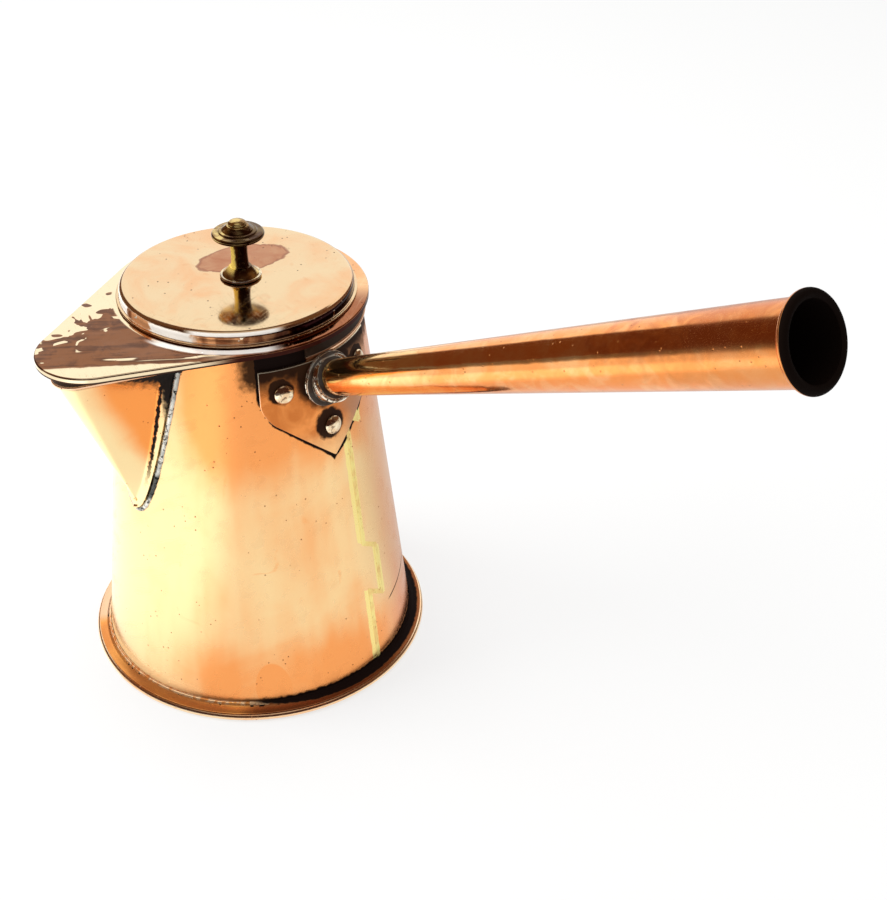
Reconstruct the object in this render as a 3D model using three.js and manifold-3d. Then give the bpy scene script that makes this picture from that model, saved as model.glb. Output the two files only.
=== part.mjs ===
// Antique copper hot water pot: a tapered body with a stepped brass seam, a flared foot, a folded
// spout, a long tubular handle on a riveted bracket, and a lift-off lid with a turned knob.
// Millimetres, +Z up. The origin is on the body's axis, on the flat underside of the base.
// The handle points along +X.

import * as THREE from 'three';
import { mergeVertices } from 'three/addons/utils/BufferGeometryUtils.js';
import Module from 'manifold-3d';

// Fits and smoothness
const JOINT_GAP = 0.3; // left between neighbouring pieces
const ROUND_STEPS = 72; // facets round the body and the lid
const SMALL_ROUND_STEPS = 28; // facets round the handle and the knob
const RIVET_STEPS = 14;
const CORNER_STEPS = 3; // facets round a small bead or fold
const PATCH_STEPS = 24; // facets along the edge of the spout's flange
const SPOUT_LEVELS = 14; // rings up the spout
const SPOUT_FLANK_STEPS = 4;
const SPOUT_TIP_STEPS = 8;
const LID_ROUND_STEPS = 64; // facets round the lid's large end
const LID_TIP_STEPS = 20;

// Body and foot
const RIM_HEIGHT = 188.8;
const FOOT_HEIGHT = 6.4;
const FOOT_SPREAD = 7.5; // of the foot beyond the body
const BODY_FOOT_RADIUS = 77.5; // outside, at the top of the foot ring
const BODY_RIM_RADIUS = 55.7; // outside, at the rim
const BODY_WALL = 1.2;
const BASE_THICKNESS = 1.2;
const BASE_EDGE_RADIUS = 1.6; // rolled edge of the base plate
const FOOT_LEDGE = 1.4; // how far the foot ring's lip stands inside the base plate's edge
const FOOT_LIP = 0.5; // upright edge of the foot ring's lip

// Stepped seam, as azimuths of its two tracks and the heights where it changes track
const SEAM_AZIMUTH = 9.6;
const SEAM_TAB_AZIMUTH = 16.9;
const SEAM_LOW_STEP = 43;
const SEAM_MIDDLE_STEP = 71;
const SEAM_HIGH_STEP = 141;
const SEAM_WIDTH = 2.4;

// Band round the mouth
const BAND_DEPTH = 9;
const BAND_THICKNESS = 0.8;
const BAND_BEAD = 0.5; // how far the band's lower bead stands out
const BAND_BEAD_DEPTH = 1.6;

// Spout. A drop is measured down from the band's lower edge.
const SPOUT_AZIMUTH = -90.6;
const SPOUT_DROP = 77.8; // to where the keel leaves the body
const SPOUT_REACH = 97.3; // from the body's axis to the tip, at the band's lower edge
const SPOUT_TIP_RADIUS = 8.4;
const SPOUT_WALL = 1.2;
const THROAT_DROP = 73.8; // to the lowest point of the joint between flanks and flange
const THROAT_HALF_WIDTH = 16.5; // of that joint, at the band, without the flare
const FLARE_DROP = 16.8; // to where the flanks start to spread
const FLARE_WIDTH = 9.1; // what the flare adds to each side at the band
const NOTCH_LEDGE = 2; // body wall left inside the joint
const FLANGE_DROP = 78.8; // to the flange's lowest point
const FLANGE_HALF_WIDTH = 22;
const SOLDER_WIDTH = 2.4;
const SOLDER_THICKNESS = 0.6;

// Handle bracket, a shield with upright sides, rounded shoulders and a pointed tip
const BRACKET_THICKNESS = 1.5;
const BRACKET_HALF_TURN = 31.4; // degrees from the handle to each upright side
const BRACKET_SIDE_DROP = 14.8; // where a side ends and its shoulder starts
const BRACKET_SHOULDER_TURN = 5.4; // degrees that a shoulder comes in
const BRACKET_SHOULDER_DROP = 26.8; // where it ends
const BRACKET_TIP_DROP = 50.4;
const BRACKET_TIP_ROUND = 1.6; // rounding to each side of the tip

// Rivets
const RIVET_HEAD_RADIUS = 4.5;
const RIVET_HEAD_HEIGHT = 2.3;
const RIVET_SHANK_RADIUS = 1.9;
const RIVET_INNER_HEAD_RADIUS = 3.6;
const RIVET_INNER_HEAD_HEIGHT = 1.3;
const RIVET_UPPER_TURN = 21.1; // degrees from the handle to each upper rivet
const RIVET_UPPER_DROP = 12.3;
const RIVET_LOWER_DROP = 34.8;

// Handle
const HANDLE_DROP = 11.2; // to where its axis meets the bracket
const HANDLE_TILT = 26.4; // above the horizontal
const HANDLE_LENGTH = 260; // from the bracket to the mouth
const HANDLE_START = 7.5; // from the bracket to the tube's end
const HANDLE_ROOT_RADIUS = 8.2;
const HANDLE_MOUTH_RADIUS = 14.8;
const HANDLE_WALL = 1.2;
const HANDLE_LIP_RADIUS = 2; // rolled lip at the mouth
const HANDLE_LIP_STANDOUT = 0.3; // of the lip's centre beyond the tube's outside
const SOCKET_FLANGE_RADIUS = 12.8;
const SOCKET_FLANGE_THICKNESS = 2;
const SOCKET_SLEEVE_RADIUS = 10.6;
const SOCKET_BEAD_RADIUS = 11.2;
const SOCKET_BEAD_WIDTH = 1.6;
const SOCKET_GROOVE_WIDTH = 1; // between the bead and the tube
const SOCKET_SPIGOT_LENGTH = 14;

// Lid
const LID_SHEET = 1;
const LID_EDGE_DEPTH = 2.8; // of the turned-down edge
const LID_EDGE_ROUND = 0.8;
const LID_EDGE_CLEARANCE = 2.1; // between the band and the turned-down edge
const LID_TIP_RADIUS = 24.3;
const LID_TIP_OVERHANG = 4.7; // beyond the band at the spout's tip
const DRUM_RADIUS = 53.3;
const DRUM_HEIGHT = 6.5;
const DRUM_SHOULDER_RADIUS = 3;
const DRUM_SHEET = 1;
const DRUM_FOOT_WIDTH = 1.5;
const LID_HOLE_LEDGE = 2; // plate left under the drum, inside its wall
const BEZEL_DEPTH = 10;
const BEZEL_THICKNESS = 1;
const BEZEL_CLEARANCE = 1; // to the inside of the body

// Knob
const KNOB_OFFSET_X = 1.5; // from the drum's centre, where the hole was punched
const KNOB_OFFSET_Y = 1.3;
const KNOB_HEIGHT = 27.5;
const KNOB_FOOT_RADIUS = 9.5;
const KNOB_FOOT_EDGE = 1.2; // upright edge of the foot
const KNOB_BELL_RADIUS = 5;
const KNOB_BELL_HEIGHT = 5;
const KNOB_STEM_RADIUS = 4.1;
const KNOB_STEM_HEIGHT = 17.5; // to where the cap starts
const KNOB_CAP_RADIUS = 11.9;
const KNOB_CAP_HEIGHT = 19.6; // to the underside of the cap's edge
const KNOB_CAP_EDGE = 2.4; // thickness of the cap's round edge
const KNOB_STEP_RADIUS = 8.6;
const KNOB_STEP_HEIGHT = 0.9; // from the cap's edge to the step above it
const KNOB_CONE_RADIUS = 7.2;
const KNOB_CONE_TOP_RADIUS = 5;
const KNOB_BUTTON_RADIUS = 4.3;
const KNOB_BUTTON_HEIGHT = 2.2;
const KNOB_TENON_RADIUS = 2;
const KNOB_WASHER_RADIUS = 5;
const KNOB_WASHER_THICKNESS = 1;
const KNOB_HEAD_RADIUS = 3.2; // of the tenon's hammered end
const KNOB_HEAD_HEIGHT = 1;

// Sizes that follow from those above
const FOOT_RADIUS = BODY_FOOT_RADIUS + FOOT_SPREAD;
const BAND_HEIGHT = RIM_HEIGHT - BAND_DEPTH;
const BODY_START_HEIGHT = BASE_THICKNESS + JOINT_GAP;
const SPOUT_ROOT_HEIGHT = BAND_HEIGHT - SPOUT_DROP;
const THROAT_ROOT_HEIGHT = BAND_HEIGHT - THROAT_DROP;
const FLANGE_ROOT_HEIGHT = BAND_HEIGHT - FLANGE_DROP;
const HANDLE_HEIGHT = BAND_HEIGHT - HANDLE_DROP;
const LID_UNDERSIDE = RIM_HEIGHT + JOINT_GAP;
const LID_TOP = LID_UNDERSIDE + LID_SHEET;
const DRUM_FOOT_HEIGHT = LID_TOP + JOINT_GAP;
const DRUM_TOP = DRUM_FOOT_HEIGHT + DRUM_HEIGHT;
const BRACKET_STACK = JOINT_GAP + BRACKET_THICKNESS + JOINT_GAP; // from the body to the handle
const RIVET_HOLE_RADIUS = RIVET_SHANK_RADIUS + JOINT_GAP;

const SEAM_CENTRE_AZIMUTH = (SEAM_AZIMUTH + SEAM_TAB_AZIMUTH) / 2;
const BODY_TAPER = (BODY_FOOT_RADIUS - BODY_RIM_RADIUS) / (RIM_HEIGHT - FOOT_HEIGHT);

const RIVETS = [
  { name: 'bracket_rivet_left', azimuth: -RIVET_UPPER_TURN, height: BAND_HEIGHT - RIVET_UPPER_DROP },
  { name: 'bracket_rivet_lower', azimuth: 0, height: BAND_HEIGHT - RIVET_LOWER_DROP },
  { name: 'bracket_rivet_right', azimuth: RIVET_UPPER_TURN, height: BAND_HEIGHT - RIVET_UPPER_DROP },
];

const wasm = await Module();
wasm.setup();

// Materials

const copper = new THREE.MeshStandardMaterial({ color: 0xe0a070, metalness: 1, roughness: 0.3 });
const darkCopper = new THREE.MeshStandardMaterial({ color: 0x6b3a20, metalness: 1, roughness: 0.35 });
const agedCopper = new THREE.MeshStandardMaterial({ color: 0xb8713f, metalness: 1, roughness: 0.35 });
const brass = new THREE.MeshStandardMaterial({ color: 0xb59a55, metalness: 1, roughness: 0.35 });
const solder = new THREE.MeshStandardMaterial({ color: 0x8c8f8a, metalness: 1, roughness: 0.6 });

// Solids and joins

function radians(degrees) {
  return THREE.MathUtils.degToRad(degrees);
}

function solidFrom(geometry) {
  const bare = geometry.index ? geometry.toNonIndexed() : geometry;
  bare.deleteAttribute('normal');
  bare.deleteAttribute('uv');
  const merged = mergeVertices(bare, 1e-4);
  const corners = merged.index.array;
  const kept = [];
  for (let i = 0; i < corners.length; i += 3) {
    const [a, b, c] = corners.slice(i, i + 3);
    if (a !== b && b !== c && c !== a) kept.push(a, b, c);
  }
  return new wasm.Manifold(new wasm.Mesh({
    numProp: 3,
    vertProperties: new Float32Array(merged.attributes.position.array),
    triVerts: new Uint32Array(kept),
  }));
}

function geometryFrom(solid) {
  const mesh = solid.getMesh();
  const geometry = new THREE.BufferGeometry();
  geometry.setAttribute('position', new THREE.BufferAttribute(mesh.vertProperties, 3));
  geometry.setIndex(new THREE.BufferAttribute(mesh.triVerts, 1));
  geometry.computeVertexNormals();
  return geometry;
}

function piece(name, solid, material) {
  const mesh = new THREE.Mesh(geometryFrom(solid), material);
  mesh.name = name;
  return mesh;
}

// A profile of radius and height, closed and turned round the Z axis
function revolve(profile, steps) {
  const outline = THREE.ShapeUtils.isClockWise(profile) ? [...profile].reverse() : [...profile];
  outline.push(outline[0]);
  const geometry = new THREE.LatheGeometry(outline, steps);
  geometry.rotateX(Math.PI / 2);
  return solidFrom(geometry);
}

// A plan outline raised between two heights
function upright(outline, low, high) {
  const geometry = new THREE.ExtrudeGeometry(new THREE.Shape(outline), {
    depth: high - low,
    bevelEnabled: false,
  });
  geometry.translate(0, 0, low);
  return solidFrom(geometry);
}

// An outline of sideways distance and height, pushed outwards through the body's wall
function throughWall(outline, azimuth) {
  const outwards = new THREE.Vector3(Math.cos(radians(azimuth)), Math.sin(radians(azimuth)), 0);
  const upwards = new THREE.Vector3(0, 0, 1);
  const sideways = new THREE.Vector3().crossVectors(upwards, outwards);
  const nearest = BODY_RIM_RADIUS / 2;
  const geometry = new THREE.ExtrudeGeometry(new THREE.Shape(outline), {
    depth: FOOT_RADIUS - nearest,
    bevelEnabled: false,
  });
  geometry.translate(0, 0, nearest);
  geometry.applyMatrix4(new THREE.Matrix4().makeBasis(sideways, upwards, outwards));
  return solidFrom(geometry);
}

function turned(solid, azimuth) {
  const geometry = geometryFrom(solid);
  geometry.rotateZ(radians(azimuth));
  return solidFrom(geometry);
}

function arc(x, y, radius, fromDegrees, toDegrees, steps = CORNER_STEPS) {
  const points = [];
  for (let i = 0; i <= steps; i += 1) {
    const angle = radians(fromDegrees + ((toDegrees - fromDegrees) * i) / steps);
    points.push(new THREE.Vector2(x + radius * Math.cos(angle), y + radius * Math.sin(angle)));
  }
  return points;
}

function point(x, y) {
  return new THREE.Vector2(x, y);
}

// A path moved sideways by a distance, to its left, with mitred corners
function beside(path, distance) {
  return path.map((here, i) => {
    const before = path[Math.max(i - 1, 0)];
    const after = path[Math.min(i + 1, path.length - 1)];
    const normals = [[before, here], [here, after]]
      .filter(([from, to]) => from !== to)
      .map(([from, to]) => point(from.y - to.y, to.x - from.x).normalize());
    const first = normals[0];
    const last = normals[normals.length - 1];
    const mitre = first.clone().add(last).divideScalar(1 + first.dot(last));
    return here.clone().addScaledVector(mitre, distance);
  });
}

function ribbon(path, leftDistance, rightDistance) {
  return [...beside(path, leftDistance), ...beside(path, rightDistance).reverse()];
}

// The body's cone

function bodyRadius(height) {
  return BODY_FOOT_RADIUS - BODY_TAPER * (height - FOOT_HEIGHT);
}

// A layer of the cone between two distances from the body's outside
function coneLayer(inner, outer, low, high) {
  return revolve([
    point(bodyRadius(low) + inner, low),
    point(bodyRadius(low) + outer, low),
    point(bodyRadius(high) + outer, high),
    point(bodyRadius(high) + inner, high),
  ], ROUND_STEPS);
}

// All that lies inside a surface parallel to the cone
function insideCone(offset) {
  const top = RIM_HEIGHT + BAND_DEPTH;
  return revolve([
    point(0, 0),
    point(bodyRadius(0) + offset, 0),
    point(bodyRadius(top) + offset, top),
    point(0, top),
  ], ROUND_STEPS);
}

// Sideways distance and height of a place on the cone, seen square from another azimuth
function onCone(azimuth, height, viewAzimuth) {
  return point(bodyRadius(height) * Math.sin(radians(azimuth - viewAzimuth)), height);
}

// Place on the body's outside, with the new Z axis square to the surface
function squareToCone(azimuth, height) {
  const lean = Math.atan(BODY_TAPER);
  const direction = radians(azimuth);
  const normal = new THREE.Vector3(
    Math.cos(direction) * Math.cos(lean),
    Math.sin(direction) * Math.cos(lean),
    Math.sin(lean),
  );
  const place = new THREE.Vector3(
    bodyRadius(height) * Math.cos(direction),
    bodyRadius(height) * Math.sin(direction),
    height,
  );
  const turn = new THREE.Quaternion().setFromUnitVectors(new THREE.Vector3(0, 0, 1), normal);
  return new THREE.Matrix4().compose(place, turn, new THREE.Vector3(1, 1, 1));
}

function rivetHole({ azimuth, height }) {
  const length = 4 * BRACKET_STACK;
  const geometry = new THREE.CylinderGeometry(RIVET_HOLE_RADIUS, RIVET_HOLE_RADIUS, length, RIVET_STEPS);
  geometry.rotateX(Math.PI / 2);
  geometry.applyMatrix4(squareToCone(azimuth, height));
  return solidFrom(geometry);
}

// Stepped seam

// The seam changes track at each step height, from the foot to the rim
function seamPath() {
  const tracks = [SEAM_AZIMUTH, SEAM_TAB_AZIMUTH];
  const steps = [SEAM_LOW_STEP, SEAM_MIDDLE_STEP, SEAM_HIGH_STEP];
  const path = [onCone(tracks[0], 0, SEAM_CENTRE_AZIMUTH)];
  steps.forEach((height, i) => {
    path.push(onCone(tracks[i % 2], height, SEAM_CENTRE_AZIMUTH));
    path.push(onCone(tracks[(i + 1) % 2], height, SEAM_CENTRE_AZIMUTH));
  });
  path.push(onCone(tracks[steps.length % 2], RIM_HEIGHT + BAND_DEPTH, SEAM_CENTRE_AZIMUTH));
  return path;
}

function seamPrism(halfWidth) {
  return throughWall(ribbon(seamPath(), halfWidth, -halfWidth), SEAM_CENTRE_AZIMUTH);
}

function makeSeam() {
  const wall = coneLayer(-BODY_WALL, 0, BODY_START_HEIGHT, RIM_HEIGHT);
  return wall.intersect(seamPrism(SEAM_WIDTH / 2));
}

// Spout

// Half the width of the joint between the spout's flanks and the body, at a height
function throatHalfWidth(height) {
  const level = Math.min(height, BAND_HEIGHT);
  const rise = Math.max(level - THROAT_ROOT_HEIGHT, 0) / THROAT_DROP;
  const flare = Math.max(level - BAND_HEIGHT + FLARE_DROP, 0) / FLARE_DROP;
  return THROAT_HALF_WIDTH * Math.sqrt(rise) + FLARE_WIDTH * flare ** 3;
}

// Plan of the spout at a height, as two straight flanks and a round tip, moved inwards by an inset.
// The flanks run on into the body, where the cone cuts them off.
function spoutPlan(height, inset) {
  const level = Math.min(height, BAND_HEIGHT);
  const share = (level - SPOUT_ROOT_HEIGHT) / SPOUT_DROP;
  const rootRadius = bodyRadius(SPOUT_ROOT_HEIGHT);
  const keel = rootRadius + (SPOUT_REACH - rootRadius) * share;
  const tipRadius = SPOUT_TIP_RADIUS * share;
  const smallestRound = 0.3;
  const halfWidth = Math.max(throatHalfWidth(level), smallestRound);
  const joint = point(Math.sqrt(bodyRadius(level) ** 2 - halfWidth ** 2), halfWidth);
  const toJoint = joint.clone().sub(point(keel - tipRadius, 0));
  const normalAngle = toJoint.angle() - Math.acos(tipRadius / toJoint.length());
  const normal = point(Math.cos(normalAngle), Math.sin(normalAngle));
  const round = Math.max(tipRadius - inset, smallestRound);
  const centre = (normal.dot(joint) - inset - round) / normal.x;
  const along = point(-normal.y, normal.x);
  const flank = [];
  const touch = point(centre + round * normal.x, round * normal.y);
  const back = joint.clone().addScaledVector(normal, -inset).addScaledVector(along, BAND_DEPTH);
  for (let i = 0; i < SPOUT_FLANK_STEPS; i += 1) {
    flank.push(back.clone().lerp(touch, i / SPOUT_FLANK_STEPS));
  }
  const degrees = THREE.MathUtils.radToDeg(normalAngle);
  const mirrored = [...flank].reverse().map(({ x, y }) => point(x, -y));
  return [...flank, ...arc(centre, 0, round, degrees, -degrees, SPOUT_TIP_STEPS), ...mirrored];
}

// A closed skin over plan outlines that all have the same number of points
function loft(outlines, heights) {
  const size = outlines[0].length;
  const positions = [];
  outlines.forEach((outline, i) => outline.forEach(({ x, y }) => positions.push(x, y, heights[i])));
  const faces = [];
  for (let level = 0; level + 1 < outlines.length; level += 1) {
    for (let i = 0; i < size; i += 1) {
      const here = level * size + i;
      const next = level * size + ((i + 1) % size);
      faces.push(here, here + size, next, next, here + size, next + size);
    }
  }
  const top = (outlines.length - 1) * size;
  for (let i = 1; i + 1 < size; i += 1) {
    faces.push(0, i, i + 1);
    faces.push(top, top + i + 1, top + i);
  }
  const geometry = new THREE.BufferGeometry();
  geometry.setAttribute('position', new THREE.Float32BufferAttribute(positions, 3));
  geometry.setIndex(faces);
  return solidFrom(geometry);
}

// Levels up to the band that lie closer together near the bottom, where the shape turns fastest
function spoutLevels(low) {
  const levels = [];
  for (let i = 0; i <= SPOUT_LEVELS; i += 1) {
    levels.push(low + (BAND_HEIGHT - low) * (i / SPOUT_LEVELS) ** 1.5);
  }
  return levels;
}

function spoutVolume(inset, low, high) {
  const heights = spoutLevels(low);
  heights.push(high);
  return loft(heights.map((height) => spoutPlan(height, inset)), heights);
}

// Edge of a patch on the body that widens like a parabola from its root to the band
function patchEdge(rootHeight, halfWidth) {
  const edge = [];
  for (let i = 0; i <= PATCH_STEPS; i += 1) {
    const share = (2 * i) / PATCH_STEPS - 1;
    edge.push(point(halfWidth * share, rootHeight + (BAND_HEIGHT - rootHeight) * share ** 2));
  }
  return edge;
}

// Opening in the body's wall behind the spout
function notch() {
  const side = spoutLevels(THROAT_ROOT_HEIGHT)
    .map((height) => point(throatHalfWidth(height) - NOTCH_LEDGE, height))
    .filter((corner) => corner.x > NOTCH_LEDGE);
  side.push(point(side[side.length - 1].x, RIM_HEIGHT + BAND_DEPTH));
  const otherSide = [...side].reverse().map(({ x, y }) => point(-x, y));
  return throughWall([...side, ...otherSide], SPOUT_AZIMUTH);
}

function makeSpoutShell() {
  const outside = spoutVolume(0, SPOUT_ROOT_HEIGHT + SPOUT_WALL, RIM_HEIGHT);
  const hollow = spoutVolume(SPOUT_WALL, THROAT_ROOT_HEIGHT + 2 * SPOUT_WALL, RIM_HEIGHT + BAND_DEPTH);
  const top = BAND_HEIGHT - JOINT_GAP;
  const layer = coneLayer(JOINT_GAP, JOINT_GAP + SPOUT_WALL, FLANGE_ROOT_HEIGHT - BAND_DEPTH, top);
  const flange = layer.intersect(throughWall(patchEdge(FLANGE_ROOT_HEIGHT, FLANGE_HALF_WIDTH), 0));
  return outside.subtract(insideCone(JOINT_GAP)).add(flange).subtract(hollow);
}

function makeSpoutSolder() {
  const edge = patchEdge(FLANGE_ROOT_HEIGHT, FLANGE_HALF_WIDTH);
  const outline = ribbon(edge, -JOINT_GAP, -JOINT_GAP - SOLDER_WIDTH);
  const low = FLANGE_ROOT_HEIGHT - BAND_DEPTH;
  const layer = coneLayer(JOINT_GAP, JOINT_GAP + SOLDER_THICKNESS, low, BAND_HEIGHT - JOINT_GAP);
  const clearOfFlanks = spoutVolume(-JOINT_GAP, SPOUT_ROOT_HEIGHT + SPOUT_WALL, RIM_HEIGHT);
  return layer.intersect(throughWall(outline, 0)).subtract(clearOfFlanks);
}

function spoutPrism(outset, low, high) {
  return upright(spoutPlan(BAND_HEIGHT, -outset), low, high);
}

function makeSpoutBand() {
  const outer = JOINT_GAP + BAND_THICKNESS;
  const band = spoutPrism(outer, BAND_HEIGHT, RIM_HEIGHT);
  const bead = spoutPrism(outer + BAND_BEAD, BAND_HEIGHT, BAND_HEIGHT + BAND_BEAD_DEPTH);
  const inside = spoutPrism(JOINT_GAP, 0, RIM_HEIGHT + BAND_DEPTH);
  return band.add(bead).subtract(inside).subtract(insideCone(JOINT_GAP));
}

// Body, foot and band

function makeBodyShell() {
  let shell = coneLayer(-BODY_WALL, 0, BODY_START_HEIGHT, RIM_HEIGHT);
  shell = shell.subtract(seamPrism(SEAM_WIDTH / 2 + JOINT_GAP));
  shell = shell.subtract(notch());
  RIVETS.forEach((rivet) => {
    shell = shell.subtract(rivetHole(rivet));
  });
  return shell;
}

function makeBasePlate() {
  const edgeCentre = FOOT_RADIUS - BASE_EDGE_RADIUS;
  return revolve([
    point(0, 0),
    ...arc(edgeCentre, BASE_EDGE_RADIUS, BASE_EDGE_RADIUS, -90, 90, 2 * CORNER_STEPS),
    point(edgeCentre - BASE_EDGE_RADIUS, BASE_THICKNESS),
    point(0, BASE_THICKNESS),
  ], ROUND_STEPS);
}

function makeFootRing() {
  const edgeCentre = FOOT_RADIUS - BASE_EDGE_RADIUS;
  const lip = FOOT_RADIUS - FOOT_LEDGE;
  const lipHeight = 2 * BASE_EDGE_RADIUS + JOINT_GAP;
  const hollowStart = lipHeight + FOOT_LIP;
  const innerLow = bodyRadius(BODY_START_HEIGHT) + JOINT_GAP;
  const innerHigh = bodyRadius(FOOT_HEIGHT) + JOINT_GAP;
  const cavetto = new THREE.QuadraticBezierCurve(
    point(lip, hollowStart),
    point(innerHigh + FOOT_LIP, hollowStart),
    point(innerHigh + FOOT_LIP, FOOT_HEIGHT),
  );
  return revolve([
    point(innerLow, BODY_START_HEIGHT),
    point(edgeCentre - BASE_EDGE_RADIUS - JOINT_GAP, BODY_START_HEIGHT),
    point(edgeCentre - BASE_EDGE_RADIUS - JOINT_GAP, lipHeight),
    point(lip, lipHeight),
    ...cavetto.getPoints(CORNER_STEPS + 1),
    point(innerHigh, FOOT_HEIGHT),
  ], ROUND_STEPS);
}

function makeRimBand() {
  const outer = JOINT_GAP + BAND_THICKNESS;
  const band = coneLayer(JOINT_GAP, outer, BAND_HEIGHT, RIM_HEIGHT);
  const beadTop = BAND_HEIGHT + BAND_BEAD_DEPTH;
  const bead = coneLayer(JOINT_GAP, outer + BAND_BEAD, BAND_HEIGHT, beadTop);
  const gapForSpout = outer + BAND_BEAD + JOINT_GAP;
  const spoutGap = turned(spoutPrism(gapForSpout, 0, RIM_HEIGHT + BAND_DEPTH), SPOUT_AZIMUTH);
  return band.add(bead).subtract(spoutGap);
}

// Bracket, rivets and handle

// Half of the shield's outline, from the rounded tip up one side to the band
function bracketHalf() {
  const place = (degrees, drop) => onCone(degrees, BAND_HEIGHT - drop, 0);
  const tip = place(0, BRACKET_TIP_DROP);
  const corner = place(BRACKET_HALF_TURN - BRACKET_SHOULDER_TURN, BRACKET_SHOULDER_DROP);
  const side = place(BRACKET_HALF_TURN, BRACKET_SIDE_DROP);
  const top = place(BRACKET_HALF_TURN, JOINT_GAP);
  const tipEnd = tip.clone().add(corner.clone().sub(tip).setLength(BRACKET_TIP_ROUND));
  const tipCentre = point(0, (tip.y + tipEnd.y) / 2);
  const pull = point(place(BRACKET_HALF_TURN, BRACKET_SHOULDER_DROP).x, (corner.y + side.y) / 2);
  const shoulder = new THREE.QuadraticBezierCurve(corner, pull, side);
  return [tipCentre, tipEnd, ...shoulder.getPoints(2 * CORNER_STEPS), top];
}

function makeBracket() {
  const right = bracketHalf();
  const left = right.slice(1).reverse().map(({ x, y }) => point(-x, y));
  const outline = [...right, ...left];
  const low = BAND_HEIGHT - BRACKET_TIP_DROP - BAND_DEPTH;
  const layer = coneLayer(JOINT_GAP, JOINT_GAP + BRACKET_THICKNESS, low, BAND_HEIGHT - JOINT_GAP);
  let plate = layer.intersect(throughWall(outline, 0));
  RIVETS.forEach((rivet) => {
    plate = plate.subtract(rivetHole(rivet));
  });
  return plate;
}

// A rivet's origin is on the body's outside and its domed head points along +Z
function makeRivet() {
  const headStart = BRACKET_STACK;
  const innerStart = -BODY_WALL - 1.5 * JOINT_GAP;
  const dome = arc(0, 0, 1, 0, 90, 2 * CORNER_STEPS)
    .map(({ x, y }) => point(RIVET_HEAD_RADIUS * x, headStart + RIVET_HEAD_HEIGHT * y));
  return revolve([
    point(0, innerStart - RIVET_INNER_HEAD_HEIGHT),
    point(RIVET_SHANK_RADIUS, innerStart - RIVET_INNER_HEAD_HEIGHT),
    point(RIVET_INNER_HEAD_RADIUS, innerStart - RIVET_INNER_HEAD_HEIGHT / 2),
    point(RIVET_INNER_HEAD_RADIUS, innerStart),
    point(RIVET_SHANK_RADIUS, innerStart),
    point(RIVET_SHANK_RADIUS, headStart),
    ...dome,
  ], RIVET_STEPS);
}

// Frame of the handle: its origin on the bracket and its Z axis along the tube
function handleFrame() {
  const place = new THREE.Vector3(bodyRadius(HANDLE_HEIGHT) + BRACKET_STACK, 0, HANDLE_HEIGHT);
  const turn = new THREE.Quaternion().setFromEuler(new THREE.Euler(0, radians(90 - HANDLE_TILT), 0));
  return new THREE.Matrix4().compose(place, turn, new THREE.Vector3(1, 1, 1));
}

function makeHandleTube() {
  const lipCentre = HANDLE_MOUTH_RADIUS + HANDLE_LIP_STANDOUT;
  const lipHeight = HANDLE_LENGTH - HANDLE_LIP_RADIUS;
  return revolve([
    point(HANDLE_ROOT_RADIUS - HANDLE_WALL, HANDLE_START),
    point(HANDLE_ROOT_RADIUS, HANDLE_START),
    ...arc(lipCentre, lipHeight, HANDLE_LIP_RADIUS, -100, 140, 3 * CORNER_STEPS),
    point(HANDLE_MOUTH_RADIUS - HANDLE_WALL, lipHeight),
  ], SMALL_ROUND_STEPS);
}

function makeHandleSocket() {
  const tubeEnd = HANDLE_START - JOINT_GAP;
  const spigot = HANDLE_ROOT_RADIUS - HANDLE_WALL - JOINT_GAP;
  const beadRound = SOCKET_BEAD_WIDTH / 2;
  const beadEnd = tubeEnd - SOCKET_GROOVE_WIDTH;
  const sleeve = revolve([
    point(0, -SOCKET_SPIGOT_LENGTH),
    point(SOCKET_SLEEVE_RADIUS, -SOCKET_SPIGOT_LENGTH),
    point(SOCKET_SLEEVE_RADIUS, beadEnd - SOCKET_BEAD_WIDTH),
    ...arc(SOCKET_BEAD_RADIUS - beadRound, beadEnd - beadRound, beadRound, -60, 90),
    point(spigot, beadEnd),
    point(spigot, tubeEnd + SOCKET_SPIGOT_LENGTH),
    point(0, tubeEnd + SOCKET_SPIGOT_LENGTH),
  ], SMALL_ROUND_STEPS);
  const sleeveGeometry = geometryFrom(sleeve);
  sleeveGeometry.applyMatrix4(handleFrame());
  const rimRound = SOCKET_FLANGE_THICKNESS / 2;
  const flange = revolve([
    point(0, -SOCKET_FLANGE_RADIUS),
    point(SOCKET_FLANGE_RADIUS, -SOCKET_FLANGE_RADIUS),
    point(SOCKET_FLANGE_RADIUS, BRACKET_STACK),
    ...arc(SOCKET_FLANGE_RADIUS - rimRound, BRACKET_STACK + rimRound, rimRound, 0, 90),
    point(0, BRACKET_STACK + SOCKET_FLANGE_THICKNESS),
  ], SMALL_ROUND_STEPS);
  const flangeGeometry = geometryFrom(flange);
  flangeGeometry.applyMatrix4(squareToCone(0, HANDLE_HEIGHT));
  return solidFrom(sleeveGeometry).add(solidFrom(flangeGeometry)).subtract(insideCone(BRACKET_STACK));
}

// Lid

const LID_RADIUS = bodyRadius(RIM_HEIGHT) + JOINT_GAP + BAND_THICKNESS + LID_EDGE_CLEARANCE + LID_SHEET;
const LID_TIP_REACH = SPOUT_REACH + JOINT_GAP + BAND_THICKNESS + LID_TIP_OVERHANG;

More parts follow.
